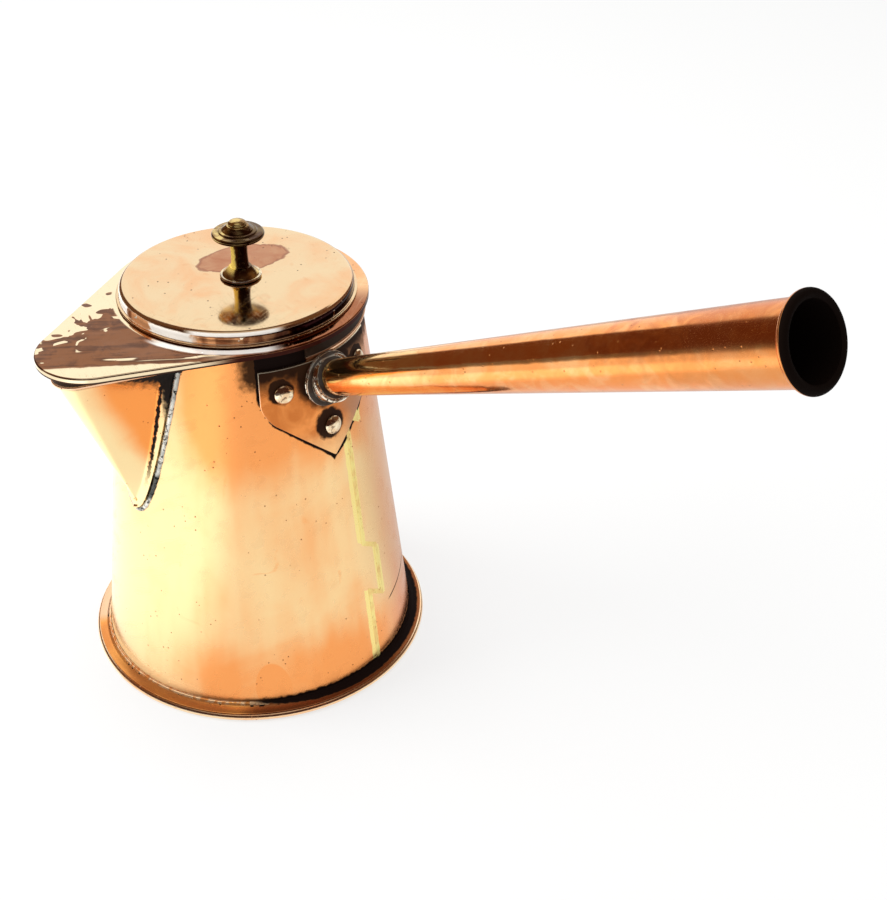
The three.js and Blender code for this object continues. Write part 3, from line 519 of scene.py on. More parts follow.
def body_finish():
    material, place = start_finish("polished body copper")
    x, y, z = along_axes(place)
    azimuth = azimuth_of(x, y)
    degree = body_radius(z) * math.radians(1)
    round_way = azimuth * degree
    bleed = 1 - (beside_seam(azimuth, degree, z) + 1.2 * noise(place, 4, 4)).between(3.1, 3.7)

    clouds = noise(place, 60, 5, 0.8)
    upright_clouds = stretched(place, (0, 90, 0), 80, 14)
    smears = stretched(place, (15, 30, 5), 40, 6).between(0.5, 0.72)
    # Painted light: the side towards the lamp, at the left, is painted paler, with less orange.
    left = facing(x, y, -120).between(0.31, 0.88)
    front = facing(x, y, 20)
    # Painted reflection: the right side, towards the back, is painted rosy and dim.
    right_side_reflection = facing(x, y, 75).between(0.45, 0.75)
    zones = (0.85 * z.between(112, 156) + 0.65 * (1 - z.between(12, 46))) * (1 - 0.8 * left)
    patch_side = (round_way - PATCH_PLACE[0]) / PATCH_SIZE[0]
    patch_height = (z - PATCH_PLACE[1]) / PATCH_SIZE[1]
    patch = 1 - (patch_side * patch_side + patch_height * patch_height).between(0.8, 1.1)
    zones = zones + 0.3 - 0.36 * left + 0.8 * patch
    orange = (zones + 1.3 * (clouds - 0.5) + 0.9 * (upright_clouds - 0.5)).between(0, 1)
    scratches = stretched(place, (0, 20, 75), 30, 0.14).between(0.68, 0.73)
    scratches = scratches | stretched(place, (35, -40, 20), 22, 0.12).between(0.69, 0.74)
    spots = pits(place, 4.2, 0.5)
    stains = noise(place, 14, 6, 1.5).between(0.66, 0.74)

    grain = noise(place, 2.5, 3)
    # Painted shade along the body's foot, on the handle's side only.
    foot_shade = 1 - (z - 2.5 * grain).between(FOOT_HEIGHT - 0.9, FOOT_HEIGHT + 0.6)
    foot_shade = foot_shade * front.between(-0.1, 0.6)
    ragged = z + 9 * (grain - 0.5) + 7 * (noise(place, 16, 2) - 0.5)
    # Dark towards the rim on the handle's side.
    rim_darkening = ragged.between(RIM_DARK_START, RIM_DARK_FULL)
    rim_darkening = rim_darkening * (front + 0.1 * grain).between(0.52, 0.62)
    # A dark joint line round the bracket, widened into painted shade beside the plate's right-hand
    # edge.
    behind_plate = azimuth.between(-6, 8) * (1 - azimuth.between(25, 30))
    shield = outside_shield(round_way, degree, z) + 1.4 * (grain - 0.5) - 2.3 * behind_plate
    edge_darkening = 1 - shield.between(0.9, 1.6)
    along_slash = round_way - SLASH_START[0]
    slash = 1 - abs(z - SLASH_START[1] - SLASH_RISE * along_slash).between(0.3, 0.65)
    slash = slash * along_slash.between(-1.5, 2.5)
    slash = slash * (1 - round_way.between(SLASH_END, SLASH_END + 4))
    darkening = foot_shade | edge_darkening | (rim_darkening * 0.95) | (slash * 0.9)
    by_ring = (1 - z.between(FOOT_HEIGHT + 2, FOOT_HEIGHT + 8)) * (1 - front.between(-0.1, 0.4))

    colour = coat(
        orange.mix(BODY_PALE, BODY_WARM),
        (right_side_reflection * 0.6, BODY_ROSE),
        (stains * 0.3, BODY_WARM),
        (bleed * 0.9, BRAZE_YELLOW),
        (scratches * 0.3, BODY_BROWN),
        (spots * 0.85, BODY_BROWN),
        (darkening, DIRT_AND_SHADE),
    )
    roughness = 0.24 + 0.08 * smears + 0.1 * scratches + 0.25 * spots + 0.3 * darkening
    metal = (1 - 0.5 * spots - 0.6 * by_ring) & (1 - darkening)
    swell = noise(place, 55, 1)
    height = swell - 0.05 * scratches - 0.5 * spots + 0.012 * noise(place, 0.9, 2)
    return lay_finish(material, colour, roughness, metal, height)


close_up(body)
fit(body, body_finish(), "pot", "body_shell")


# Body seam
# Brass runs in the stepped joint where tabs of the sheet's two edges lock into each other. It is
# filed flush with the copper and shows as a yellow line with square steps.

SEAM_STRIP = 1.5
SEAM_REACH = 15
SEAM_PROUD = 0.05
BRASS_TAN = (0.94, 0.66, 0.24)
BRASS_BROWN = (0.5, 0.26, 0.08)


def wrap_on_cone(piece, azimuth):
    """Bends a flat piece onto the body: x goes round it, z up, and y outwards."""
    for vertex in piece.data.vertices:
        side, out, height = vertex.co / MM
        radius = body_radius(height)
        angle = math.radians(azimuth) + math.asin(side / radius)
        distance = radius + out
        place = (distance * math.cos(angle), distance * math.sin(angle), height)
        vertex.co = Vector(place) * MM


def slice_upright(width, spacing):
    """Bisects a flat piece in edit mode into upright strips, so that it can be bent."""
    count = math.floor(width / spacing)
    for i in range(-count, count + 1):
        bpy.ops.mesh.select_all(action="SELECT")
        bpy.ops.mesh.bisect(plane_co=(i * spacing * MM, 0, 0), plane_no=(1, 0, 0))


def offset_path(path, distance):
    """A path of (side, height) moved to its left, with mitred corners."""
    moved = []
    for i, here in enumerate(path):
        normals = []
        for a, b in ((i - 1, i), (i, i + 1)):
            if a >= 0 and b < len(path):
                run = Vector(path[b]) - Vector(path[a])
                normals.append(Vector((-run.y, run.x)).normalized())
        mitre = (normals[0] + normals[-1]) / (1 + normals[0].dot(normals[-1]))
        moved.append(tuple(Vector(here) + mitre * distance))
    return moved


tracks = (SEAM_AZIMUTH, SEAM_TAB_AZIMUTH)
seam_path = [on_cone(tracks[0], body_start + 2, SEAM_CENTRE)]
for i, step in enumerate(SEAM_STEPS):
    for track in (tracks[i % 2], tracks[(i + 1) % 2]):
        lean = SEAM_STEP_LEAN * math.radians(SEAM_CENTRE - track) * body_radius(step)
        seam_path.append(on_cone(track, step + lean, SEAM_CENTRE))
seam_path.append(on_cone(tracks[1], BAND_HEIGHT + 2, SEAM_CENTRE))
seam_outline = offset_path(seam_path, SEAM_WIDTH / 2)
seam_outline += reversed(offset_path(seam_path, -SEAM_WIDTH / 2))
seam = trace("seam_braze", [(side, -BODY_WALL - SEAM_PROUD, z) for side, z in seam_outline])
bpy.ops.mesh.edge_face_add()
extrude(0, BODY_WALL + 2 * SEAM_PROUD, 0)
slice_upright(SEAM_REACH, SEAM_STRIP)
bpy.ops.object.mode_set(mode="OBJECT")
wrap_on_cone(seam, SEAM_CENTRE)
close_up(seam)


def seam_finish():
    material, place = start_finish("brazing brass")
    clouds = noise(place, 7, 4)
    spots = noise(place, 1.6, 3).between(0.6, 0.68)
    colour = clouds.between(0.4, 0.62).mix(BRAZE_YELLOW, BRASS_TAN)
    colour = (spots * 0.35).mix(colour, BRASS_BROWN)
    roughness = 0.3 + 0.2 * clouds + 0.2 * spots
    height = noise(place, 3, 3) - 0.6 * spots
    return lay_finish(material, colour, roughness, 1 - 0.3 * spots, height, 0.1)


fit(seam, seam_finish(), "pot", "body_seam")


# Rim band
# A flat copper band with a small bead along its lower edge, soldered round the mouth. It stops
# at each side of the spout, where the spout's own band goes on.

BAND_THICKNESS = 0.8
BAND_BEAD = 0.5
BAND_BEAD_DEPTH = 1.6
BAND_GAP_ANGLE = 27.2
EDGE_BREAK = 0.2
BAND_COPPER = (0.92, 0.58, 0.36)
BAND_WARM = (0.8, 0.42, 0.24)
BAND_DARK = (0.06, 0.02, 0.012)

bead_half = BAND_BEAD_DEPTH / 2
band_section = [
    (0, BAND_HEIGHT),
    *(
        (BAND_THICKNESS + BAND_BEAD * out, BAND_HEIGHT + bead_half + bead_half * up)
        for out, up in arc(0, 0, 1, -90, 90, 9)
    ),
    (BAND_THICKNESS, RIM_HEIGHT - EDGE_BREAK),
    (BAND_THICKNESS - EDGE_BREAK, RIM_HEIGHT),
    (0, RIM_HEIGHT),
    (0, BAND_HEIGHT),
]
rim_band = trace(
    "rim_band_ring", [(body_radius(z) + JOINT_GAP + out, 0, z) for out, z in band_section]
)
band_start = math.radians(SPOUT_AZIMUTH + BAND_GAP_ANGLE)
band_turn = math.radians(360 - 2 * BAND_GAP_ANGLE)
bpy.ops.transform.rotate(
    value=-band_start, orient_axis="Z", orient_type="GLOBAL", center_override=(0, 0, 0)
)
bpy.ops.mesh.spin(steps=LATHE_STEPS, angle=band_turn, center=(0, 0, 0), axis=(0, 0, 1))
close_up(rim_band)


def band_shade(z):
    """Painted shade on the band under the lid's edge, above its bead, which keeps the copper's
    colour.
    """
    bead_top = BAND_HEIGHT + BAND_BEAD_DEPTH
    return 0.97 * z.between(bead_top - 0.3, bead_top + 0.2)


band_copper = copper_finish(
    "banded rim copper",
    BAND_COPPER,
    BAND_WARM,
    BAND_DARK,
    stain=0.2,
    gloss=0.16,
    wave=0.03,
    dark_cover=band_shade,
)
fit(rim_band, band_copper, "pot", "rim_band")


# Spout
# One sheet folded to a rounded keel. Its two edges are bent outwards as a flange that lies on
# the body round the notch and is soldered down.

SPOUT_WALL = 1.2
FLANGE_ROOT_HEIGHT = 101
FLANGE_HALF_WIDTH = 22
FLANGE_COLUMNS = 6
FLANK_COLUMNS = 18
TIP_COLUMNS = 10
SPOUT_ROWS = 64
CREASE_ROUND = 0.5
SPOUT_SMOOTH_ANGLE = 60
SPOUT_EDGE_ANGLE = 40
CREEP = 0.05  # step in millimetres with which a flank's edge is moved to the band
SPOUT_PALE = (0.99, 0.76, 0.4)
SPOUT_ORANGE = (0.97, 0.34, 0.08)
SPOUT_SHADE_RED = (0.3, 0.05, 0.03)
SPOUT_DIRT_AND_SHADE = (0.02, 0.016, 0.014)


def spout_plan(height):
    """Where a flank leaves the body, the tip circle's centre and radius, and the flank's angle."""
    level = min(height, BAND_HEIGHT)
    share = max((level - SPOUT_ROOT_HEIGHT) / (BAND_HEIGHT - SPOUT_ROOT_HEIGHT), 0)
    root = body_radius(SPOUT_ROOT_HEIGHT)
    tip_radius = max(SPOUT_TIP_RADIUS * share, 0.3)
    centre = root + (SPOUT_REACH - root) * share - tip_radius
    half = max(throat_half_width(level), 0.3)
    joint = Vector((math.sqrt(body_radius(level) ** 2 - half**2), half))
    to_joint = joint - Vector((centre, 0))
    angle = math.atan2(to_joint.y, to_joint.x) - math.acos(tip_radius / to_joint.length)
    return joint, centre, tip_radius, angle


def flange_half_width(height):
    rise = (height - FLANGE_ROOT_HEIGHT) / (BAND_HEIGHT - FLANGE_ROOT_HEIGHT)
    return FLANGE_HALF_WIDTH * math.sqrt(max(rise, 0))


def creep_in(place, way, radius):
    """A place moved step by step that way, until it is no further from the axis than radius."""
    while place.length > radius:
        place = place + way * CREEP
    return place


def spout_half_row(height):
    """Half a level of the spout's outside, from the flange's edge to the middle of the tip."""
    joint, centre, tip_radius, angle = spout_plan(height)
    touch = Vector((centre + tip_radius * math.cos(angle), tip_radius * math.sin(angle)))
    over_band = height > BAND_HEIGHT - JOINT_GAP
    if over_band:
        outwards = (joint - touch).normalized()
        joint = creep_in(joint, outwards, body_radius(height) + JOINT_GAP)
    edge = joint.y if over_band else max(flange_half_width(height), joint.y + 0.3)
    row = []
    for i in range(FLANGE_COLUMNS):
        side = edge + (joint.y - edge) * i / FLANGE_COLUMNS
        on_wall = Vector((math.sqrt(joint.length_squared - side**2), side))
        row.append(joint if over_band else on_wall)
    row += [joint.lerp(touch, i / FLANK_COLUMNS) for i in range(FLANK_COLUMNS)]
    row += [Vector(p) for p in arc(centre, 0, tip_radius, math.degrees(angle), 0, TIP_COLUMNS)]
    if over_band:
        return row
    least = body_radius(height) + JOINT_GAP + SPOUT_WALL
    lifted = []
    for place in row:
        smooth = (place.length + least + math.hypot(place.length - least, CREASE_ROUND)) / 2
        lifted.append(place * (smooth / place.length))
    return lifted


def both_sides(half, height):
    """A whole row at a height, from its first half, which ends in the middle."""
    row = [(p.x, p.y, height) for p in half]
    return row + [(p.x, -p.y, height) for p in reversed(half[:-1])]


def skin(name, rows):
    """A grid primitive whose rows are pulled to these rows of points in millimetres."""
    bpy.ops.object.select_all(action="DESELECT")
    columns, count = len(rows[0]) - 1, len(rows) - 1
    bpy.ops.mesh.primitive_grid_add(x_subdivisions=columns, y_subdivisions=count, size=MM)
    piece = bpy.context.object
    piece.name = piece.data.name = name
    places = [Vector(place) * MM for row in rows for place in row]
    piece.data.vertices.foreach_set("co", [value for place in places for value in place])
    return piece


def turn_to_spout(piece):
    piece.rotation_euler.z = math.radians(SPOUT_AZIMUTH)
    bpy.ops.object.transform_apply(location=False, rotation=True, scale=False)


flange_top = BAND_HEIGHT - JOINT_GAP
spout_levels = levels(FLANGE_ROOT_HEIGHT, flange_top, SPOUT_ROWS, 1.6)
spout_levels += [flange_top + 0.02, BAND_HEIGHT + 3, BAND_HEIGHT + 6, RIM_HEIGHT]
spout = skin("spout_sheet", [both_sides(spout_half_row(z), z) for z in spout_levels])
close_up(spout, SPOUT_SMOOTH_ANGLE)
wall = spout.modifiers.new("wall", "SOLIDIFY")
wall.thickness = SPOUT_WALL * MM
wall.offset = -1
bpy.ops.object.modifier_apply(modifier=wall.name)
turn_to_spout(spout)
bpy.ops.object.shade_smooth_by_angle(angle=math.radians(SPOUT_EDGE_ANGLE))


def spout_finish():
    material, place = start_finish("polished spout copper")
    x, y, z = along_axes(place)
    across = abs(towards(x, y, SPOUT_AZIMUTH + 90))
    share = (z - SPOUT_ROOT_HEIGHT) / (BAND_HEIGHT - SPOUT_ROOT_HEIGHT) | 0
    keel = body_radius(SPOUT_ROOT_HEIGHT) * (1 - share) + SPOUT_REACH * share
    behind_keel = keel - towards(x, y, SPOUT_AZIMUTH)
    rise = (z - THROAT_ROOT_HEIGHT | 0) / (BAND_HEIGHT - THROAT_ROOT_HEIGHT)
    past_joint = across - THROAT_HALF_WIDTH * rise.math("SQRT")
    grain = noise(place, 2.2, 4)
    crease = abs(past_joint - 1.4) - 3.2 * (grain - 0.45)
    crease_dirt = (1 - crease.between(0.45, 1.1)) * z.between(112, 134)
    # Painted shade in the corner under the rim, where the spout meets the body; the crease line
    # below is dirt.
    corner_shade = past_joint + 0.35 * (z - BAND_HEIGHT) + 6 * (grain - 0.5)
    darkening = crease_dirt | corner_shade.between(-5.5, -1)
    clouds = noise(place, 40, 4, 0.8)
    flank = behind_keel.between(0, 24) * z.between(104, 142)
    flange = past_joint.between(1.5, 2.6)
    orange = (flank * 1.25 + 0.8 * (clouds - 0.5) - flange).between(0, 1)
    # Painted shade in a strip just under the band.
    shade_under_band = z.between(BAND_HEIGHT - 1.8, BAND_HEIGHT - 0.3)
    scratches = stretched(place, (0, 25, 70), 24, 0.14).between(0.67, 0.73)
    spots = pits(place, 3.6, 0.4)
    colour = coat(
        orange.mix(SPOUT_PALE, SPOUT_ORANGE),
        (shade_under_band * 0.9, SPOUT_SHADE_RED),
        (scratches * 0.15, BODY_BROWN),
        (spots * 0.8, BODY_BROWN),
        (darkening, SPOUT_DIRT_AND_SHADE),
    )
    roughness = 0.25 + 0.1 * scratches + 0.3 * spots + 0.35 * darkening
    metal = (1 - 0.4 * spots) & (1 - darkening)
    height = 0.5 * clouds - 0.05 * scratches - 0.4 * spots - 0.4 * darkening
    return lay_finish(material, colour, roughness, metal, height)


fit(spout, spout_finish(), "pot", "spout_shell")


# Spout band
# The rim's band goes on round the spout's mouth as a second strip, bent to its outline and
# soldered on, with the same bead along its lower edge.

SPOUT_BAND_STEPS = 30


def spout_half_outline(outset):
    """Half of the spout's mouth, moved outwards, from the body to the middle of the tip."""
    joint, centre, tip_radius, angle = spout_plan(RIM_HEIGHT)
    normal = Vector((math.cos(angle), math.sin(angle)))
    touch = Vector((centre, 0)) + normal * (tip_radius + outset)
    start = joint + normal * outset
    start = creep_in(start, (start - touch).normalized(), BODY_RIM_RADIUS + JOINT_GAP)
    half = [start.lerp(touch, i / SPOUT_BAND_STEPS) for i in range(SPOUT_BAND_STEPS)]
    tip = arc(centre, 0, tip_radius + outset, math.degrees(angle), 0, 12)
    return half + [Vector(place) for place in tip]


spout_band_rows = [
    both_sides(spout_half_outline(JOINT_GAP + outset), z) for outset, z in band_section
]
spout_band = skin("spout_band_strip", spout_band_rows)
bpy.ops.object.mode_set(mode="EDIT")
bpy.ops.mesh.select_all(action="SELECT")
bpy.ops.mesh.remove_doubles(threshold=MERGE_DISTANCE * MM)
bpy.ops.mesh.fill_holes(sides=0)
close_up(spout_band)
turn_to_spout(spout_band)
fit(spout_band, band_copper, "pot", "spout_rim_band")


# Solder round the spout's flange
# Grey tin solder has run along the edge of the flange as a low uneven fillet, darkened with
# dirt where polish never reaches, and with painted shade towards the top, under the rim.

SOLDER_RADIUS = 1.35
SOLDER_SINK = 0.75
SOLDER_OVERLAP = 0.35
SOLDER_POINTS = 120
SOLDER_UNEVENNESS = (0.86, 1.12)
SOLDER_PALE = (0.8, 0.78, 0.7)
SOLDER_GREY = (0.5, 0.5, 0.46)
SOLDER_BLACK = (0.02, 0.024, 0.022)

random.seed(7)
solder_side = []
for i in range(SOLDER_POINTS + 1):
    share = 2 * i / SOLDER_POINTS - 1
    height = FLANGE_ROOT_HEIGHT + (flange_top - FLANGE_ROOT_HEIGHT) * share**2
    solder_side.append((FLANGE_HALF_WIDTH * share, height))
solder_points = []
for side, height in offset_path(solder_side, -JOINT_GAP - SOLDER_RADIUS + SOLDER_OVERLAP):
    on_wall = math.sqrt(body_radius(height) ** 2 - side**2)
    solder_points.append((on_wall + JOINT_GAP - SOLDER_SINK + 0.2, side, height))
solder = trace("solder_fillet", solder_points)
bpy.ops.object.mode_set(mode="OBJECT")
bpy.ops.object.convert(target="CURVE")
run = solder.data
run.dimensions = "3D"
run.bevel_depth = SOLDER_RADIUS * MM
run.bevel_resolution = 5
run.use_fill_caps = True
for place in run.splines[0].points:
    place.radius = random.uniform(*SOLDER_UNEVENNESS)
bpy.ops.object.convert(target="MESH")
solder = bpy.context.object
close_up(solder, SPOUT_SMOOTH_ANGLE)
turn_to_spout(solder)


def solder_finish():
    material, place = start_finish("grey tin solder")
    z = along_axes(place)[2]
    clouds = noise(place, 5, 5)
    darkening = noise(place, 2.2, 4, 1).between(0.52, 0.64)
    ragged = z + 4 * clouds
    near_root = ragged.between(109, 112) * (1 - ragged.between(124, 127))
    # The rise with height is painted shade under the rim.
    blackened = darkening * 0.8 + 0.35 * z.between(150, 176) + 0.9 * near_root
    colour = clouds.between(0.4, 0.65).mix(SOLDER_PALE, SOLDER_GREY)
    colour = blackened.mix(colour, SOLDER_BLACK)
    roughness = 0.38 + 0.3 * darkening + 0.1 * clouds
    height = noise(place, 2.5, 4) - 0.4 * darkening
    return lay_finish(material, colour, roughness, 1 - 0.6 * darkening, height, 0.25)


fit(solder, solder_finish(), "pot", "spout_solder")


# Handle bracket
# A shield cut from copper plate, bent to the body and riveted to it. Its edge is cut square and
# carries a painted highlight. It is dark along its upper side, with painted shade round the
# socket and dirt round the rivets.

BRACKET_THICKNESS = 1.5
BRACKET_BEVEL = 0.6
BRACKET_TIP_ROUND = 1.6
BRACKET_STRIP = 1.2
BRACKET_REACH = 33
BRACKET_STACK = JOINT_GAP + BRACKET_THICKNESS + JOINT_GAP
HANDLE_DROP = 11.2
HANDLE_HEIGHT = BAND_HEIGHT - HANDLE_DROP
RIVETS = {
    "bracket_rivet_left": (-21.1, 12.3),
    "bracket_rivet_lower": (0.0, 34.8),
    "bracket_rivet_right": (21.1, 12.3),
}
BRACKET_RED = (0.84, 0.3, 0.08)
BRACKET_BROWN = (0.6, 0.18, 0.04)
BRACKET_PALE = (0.96, 0.55, 0.24)
BRACKET_DULL = (0.5, 0.25, 0.13)
BRACKET_SCRATCH = (0.9, 0.5, 0.25)
BRACKET_EDGE_HIGHLIGHT = (0.99, 0.88, 0.66)


def bracket_half():
    """Half of the shield's outline, from its rounded tip up one side to the band."""

    def place(degrees, drop):
        return Vector(on_cone(degrees, BAND_HEIGHT - drop, 0))

    tip, shoulder, side = (place(*p) for p in (BRACKET_TIP, BRACKET_SHOULDER, BRACKET_SIDE))
    pull = (place(BRACKET_HALF_TURN, BRACKET_SHOULDER[1]).x, (shoulder.y + side.y) / 2)
    start = tip + (shoulder - tip).normalized() * BRACKET_TIP_ROUND
    rounding = pulled_curve(tip + Vector((0, 0.3)), (start.x / 2, tip.y + 0.3), start, 3)
    return [*rounding, *pulled_curve(shoulder, pull, side), place(BRACKET_HALF_TURN, JOINT_GAP)]


right_half = bracket_half()
shield = right_half + [(-p[0], p[1]) for p in reversed(right_half[1:])]
bracket = trace("bracket_shield", [(p[0], JOINT_GAP, p[1]) for p in shield])
bpy.ops.mesh.remove_doubles(threshold=0.01 * MM)
bpy.ops.mesh.edge_face_add()
extrude(0, BRACKET_THICKNESS, 0)
bpy.ops.mesh.bevel(offset=BRACKET_BEVEL * MM, segments=3, affect="EDGES")
slice_upright(BRACKET_REACH, BRACKET_STRIP)
bpy.ops.object.mode_set(mode="OBJECT")
wrap_on_cone(bracket, 0)
close_up(bracket)


def bracket_finish():
    material, place = start_finish("smudged bracket copper")
    x, y, z = along_axes(place)
    azimuth = azimuth_of(x, y)
    round_way = azimuth * (body_radius(z) * math.radians(1))
    grain = noise(place, 3, 4)
    broad = noise(place, 16, 4, 0.8)
    ragged = 4 * (grain - 0.5) + 5 * (broad - 0.5)
    # Painted shade round the handle's socket.
    from_socket = reach(round_way, z - HANDLE_HEIGHT - 3)
    darkening = 1 - (from_socket + ragged).between(14, 18.5)
    # Dark towards the rim along the plate's upper side.
    darkening = darkening | (z + 1.6 * ragged).between(RIM_DARK_START, RIM_DARK_FULL + 2)
    for degrees, drop in RIVETS.values():
        height = BAND_HEIGHT - drop
        to_side = round_way - math.radians(degrees) * body_radius(height) + 1.0
        from_rivet = reach(to_side, z - height - 1.6) - (0.6 if degrees else 2.0)
        darkening = darkening | (1 - (from_rivet + ragged * 0.7).between(4.8, 6.6))

    # Painted highlight along the plate's bevelled edge, picked out by the normal.
    normal = place.node("NewGeometry", {}, {}, "Normal")
    flat = place.node("CombineXYZ", {}, {0: x, 1: y})
    outwards = flat.node("VectorMath", {"operation": "NORMALIZE"}, {0: flat})
    both = {0: normal, 1: outwards}
    outward = normal.node("VectorMath", {"operation": "DOT_PRODUCT"}, both, "Value")
    edge_highlight = 1 - outward.between(0.5, 0.93)
    scratches = stretched(place, (0, 40, 20), 14, 0.15).between(0.64, 0.7)
    lower = 1 - (z + 8 * (broad - 0.5)).between(132, 148)
    right = (azimuth + 12 * (broad - 0.5)).between(4, 14)
    colour = coat(
        broad.between(0.4, 0.62).mix(BRACKET_RED, BRACKET_BROWN),
        (lower * 0.9, BRACKET_PALE),
        (right * 0.7, BRACKET_DULL),
        (scratches * 0.2, BRACKET_SCRATCH),
        (darkening * 0.97, DIRT_AND_SHADE),
        (edge_highlight, BRACKET_EDGE_HIGHLIGHT),
    )
    dark_cover = darkening * (1 - edge_highlight)
    roughness = 0.2 + 0.25 * dark_cover + 0.1 * scratches
    height = noise(place, 14, 2) * 0.6 - 0.07 * scratches - 0.15 * darkening
    return lay_finish(material, colour, roughness, 1 - dark_cover, height, 0.2)


fit(bracket, bracket_finish(), "pot", "handle_bracket")


# Rivets
# Three copper rivets hold the bracket. Their heads are domed outside with a hammer and set,
# and spread flat against the inside of the body.

RIVET_STEPS = 72
RIVET_HEAD_RADIUS = 4.5
RIVET_HEAD_HEIGHT = 2.3
RIVET_SHANK_RADIUS = 1.9
RIVET_INNER_HEAD_RADIUS = 3.6
RIVET_INNER_HEAD_HEIGHT = 1.3
RIVET_PALE = (0.95, 0.82, 0.58)
RIVET_WARM = (0.85, 0.6, 0.36)
RIVET_BROWN = (0.1, 0.04, 0.02)


def square_to_cone(azimuth, height):
    """Place on the body's outside, with Z square to the surface."""
    lean = math.atan(BODY_TAPER)
    direction = math.radians(azimuth)
    outwards = Vector((math.cos(direction), math.sin(direction), 0))
    place = (outwards * body_radius(height) + Vector((0, 0, height))) * MM
    normal = outwards * math.cos(lean) + Vector((0, 0, math.sin(lean)))
    turned = Vector((0, 0, 1)).rotation_difference(normal)
    return Matrix.Translation(place) @ turned.to_matrix().to_4x4()


def place_piece(piece, place):
    """Moves a piece's mesh to a place and leaves the object at the origin."""
    bpy.ops.object.select_all(action="DESELECT")
    piece.select_set(True)
    bpy.context.view_layer.objects.active = piece
    piece.matrix_world = place
    bpy.ops.object.transform_apply(location=True, rotation=True, scale=True)


inner_start = -BODY_WALL - 1.5 * JOINT_GAP
inner_end = inner_start - RIVET_INNER_HEAD_HEIGHT
rivet_profile = [
    (0, inner_end),
    *pulled_curve(
        (RIVET_SHANK_RADIUS, inner_end),
        (RIVET_INNER_HEAD_RADIUS, inner_end),
        (RIVET_INNER_HEAD_RADIUS, inner_start),
    ),
    (RIVET_SHANK_RADIUS, inner_start),
    (RIVET_SHANK_RADIUS, BRACKET_STACK),
    *(
        (RIVET_HEAD_RADIUS * out, BRACKET_STACK + RIVET_HEAD_HEIGHT * up)
        for out, up in arc(0, 0, 1, 0, 90, 14)
    ),
]
rivet_copper = copper_finish(
    "hammered rivet copper",
    RIVET_PALE,
    RIVET_WARM,
    RIVET_BROWN,
    stain=0.5,
    gloss=0.13,
    wave=0.25,
    cloud=4.0,
)
first_rivet = turn("rivet_head", rivet_profile, RIVET_STEPS)
for node_name, (azimuth, drop) in RIVETS.items():
    rivet = first_rivet.copy()
    rivet.data = first_rivet.data.copy()
    rivet.name = rivet.data.name = node_name + "_head"
    bpy.context.scene.collection.objects.link(rivet)
    place_piece(rivet, square_to_cone(azimuth, BAND_HEIGHT - drop))
    fit(rivet, rivet_copper, "pot", node_name)
bpy.data.objects.remove(first_rivet)


# Handle socket
# A turned brass foot between the bracket and the tube: a flange on the bracket, a rough sleeve
# with a bead, and a deep groove before the tube's end. A spigot inside carries the tube.

HANDLE_TILT = 26.4
HANDLE_START = 7.5
HANDLE_ROOT_RADIUS = 8.2
HANDLE_WALL = 1.2
SOCKET_SINK = -6
SOCKET_FLANGE_RADIUS = 12.8
SOCKET_FLANGE_THICKNESS = 2
SOCKET_SLEEVE_RADIUS = 10.6
SOCKET_BEAD_RADIUS = 11.2
SOCKET_BEAD_WIDTH = 1.6
SOCKET_GROOVE_WIDTH = 1
SOCKET_SPIGOT_LENGTH = 14
SOCKET_STEPS = 96
SOCKET_PALE = (0.97, 0.88, 0.72)
SOCKET_BROWN = (0.66, 0.4, 0.22)
SOCKET_DIRT_AND_SHADE = (0.022, 0.01, 0.008)

handle_root = Vector((body_radius(HANDLE_HEIGHT) + BRACKET_STACK, 0, HANDLE_HEIGHT))
handle_turn = Matrix.Rotation(math.radians(90 - HANDLE_TILT), 4, "Y")
handle_frame = Matrix.Translation(handle_root * MM) @ handle_turn
tube_end = HANDLE_START - JOINT_GAP
spigot = HANDLE_ROOT_RADIUS - HANDLE_WALL - JOINT_GAP
spigot_end = tube_end + SOCKET_SPIGOT_LENGTH
bead_end = tube_end - SOCKET_GROOVE_WIDTH
bead_radius = SOCKET_BEAD_WIDTH / 2
bead_centre = (SOCKET_BEAD_RADIUS - bead_radius, bead_end - bead_radius)
sleeve_profile = [
    (0, SOCKET_SINK),
    *((SOCKET_SLEEVE_RADIUS, z) for z in levels(SOCKET_SINK, bead_end - SOCKET_BEAD_WIDTH, 16)),
    *arc(*bead_centre, bead_radius, -60, 90, 12),
    (spigot, bead_end),
    (spigot, spigot_end),
    (0, spigot_end),
]
socket = turn("handle_socket_foot", sleeve_profile, SOCKET_STEPS)
place_piece(socket, handle_frame)
flange_round = SOCKET_FLANGE_THICKNESS / 2
flange_middle = (SOCKET_FLANGE_RADIUS - flange_round, BRACKET_STACK + flange_round)
flange_profile = [
    (0, BRACKET_STACK - 0.2),
    (SOCKET_FLANGE_RADIUS - 0.3, BRACKET_STACK - 0.2),
    *arc(*flange_middle, flange_round, -60, 90, 14),
    (0, BRACKET_STACK + SOCKET_FLANGE_THICKNESS),
]
socket_flange = turn("socket_flange", flange_profile, SOCKET_STEPS)
place_piece(socket_flange, square_to_cone(0, HANDLE_HEIGHT))
socket.select_set(True)
bpy.context.view_layer.objects.active = socket
bpy.ops.object.join()
bpy.ops.object.shade_smooth_by_angle(angle=math.radians(SMOOTH_ANGLE))


def on_handle(x, y, z):
    """A place's distance along the handle's axis from its root, above that axis, and from it."""
    forwards, upwards = x - handle_root.x, z - handle_root.z
    along = towards(forwards, upwards, HANDLE_TILT)
    lifted = towards(forwards, upwards, HANDLE_TILT + 90)
    return along, lifted, reach(lifted, y)


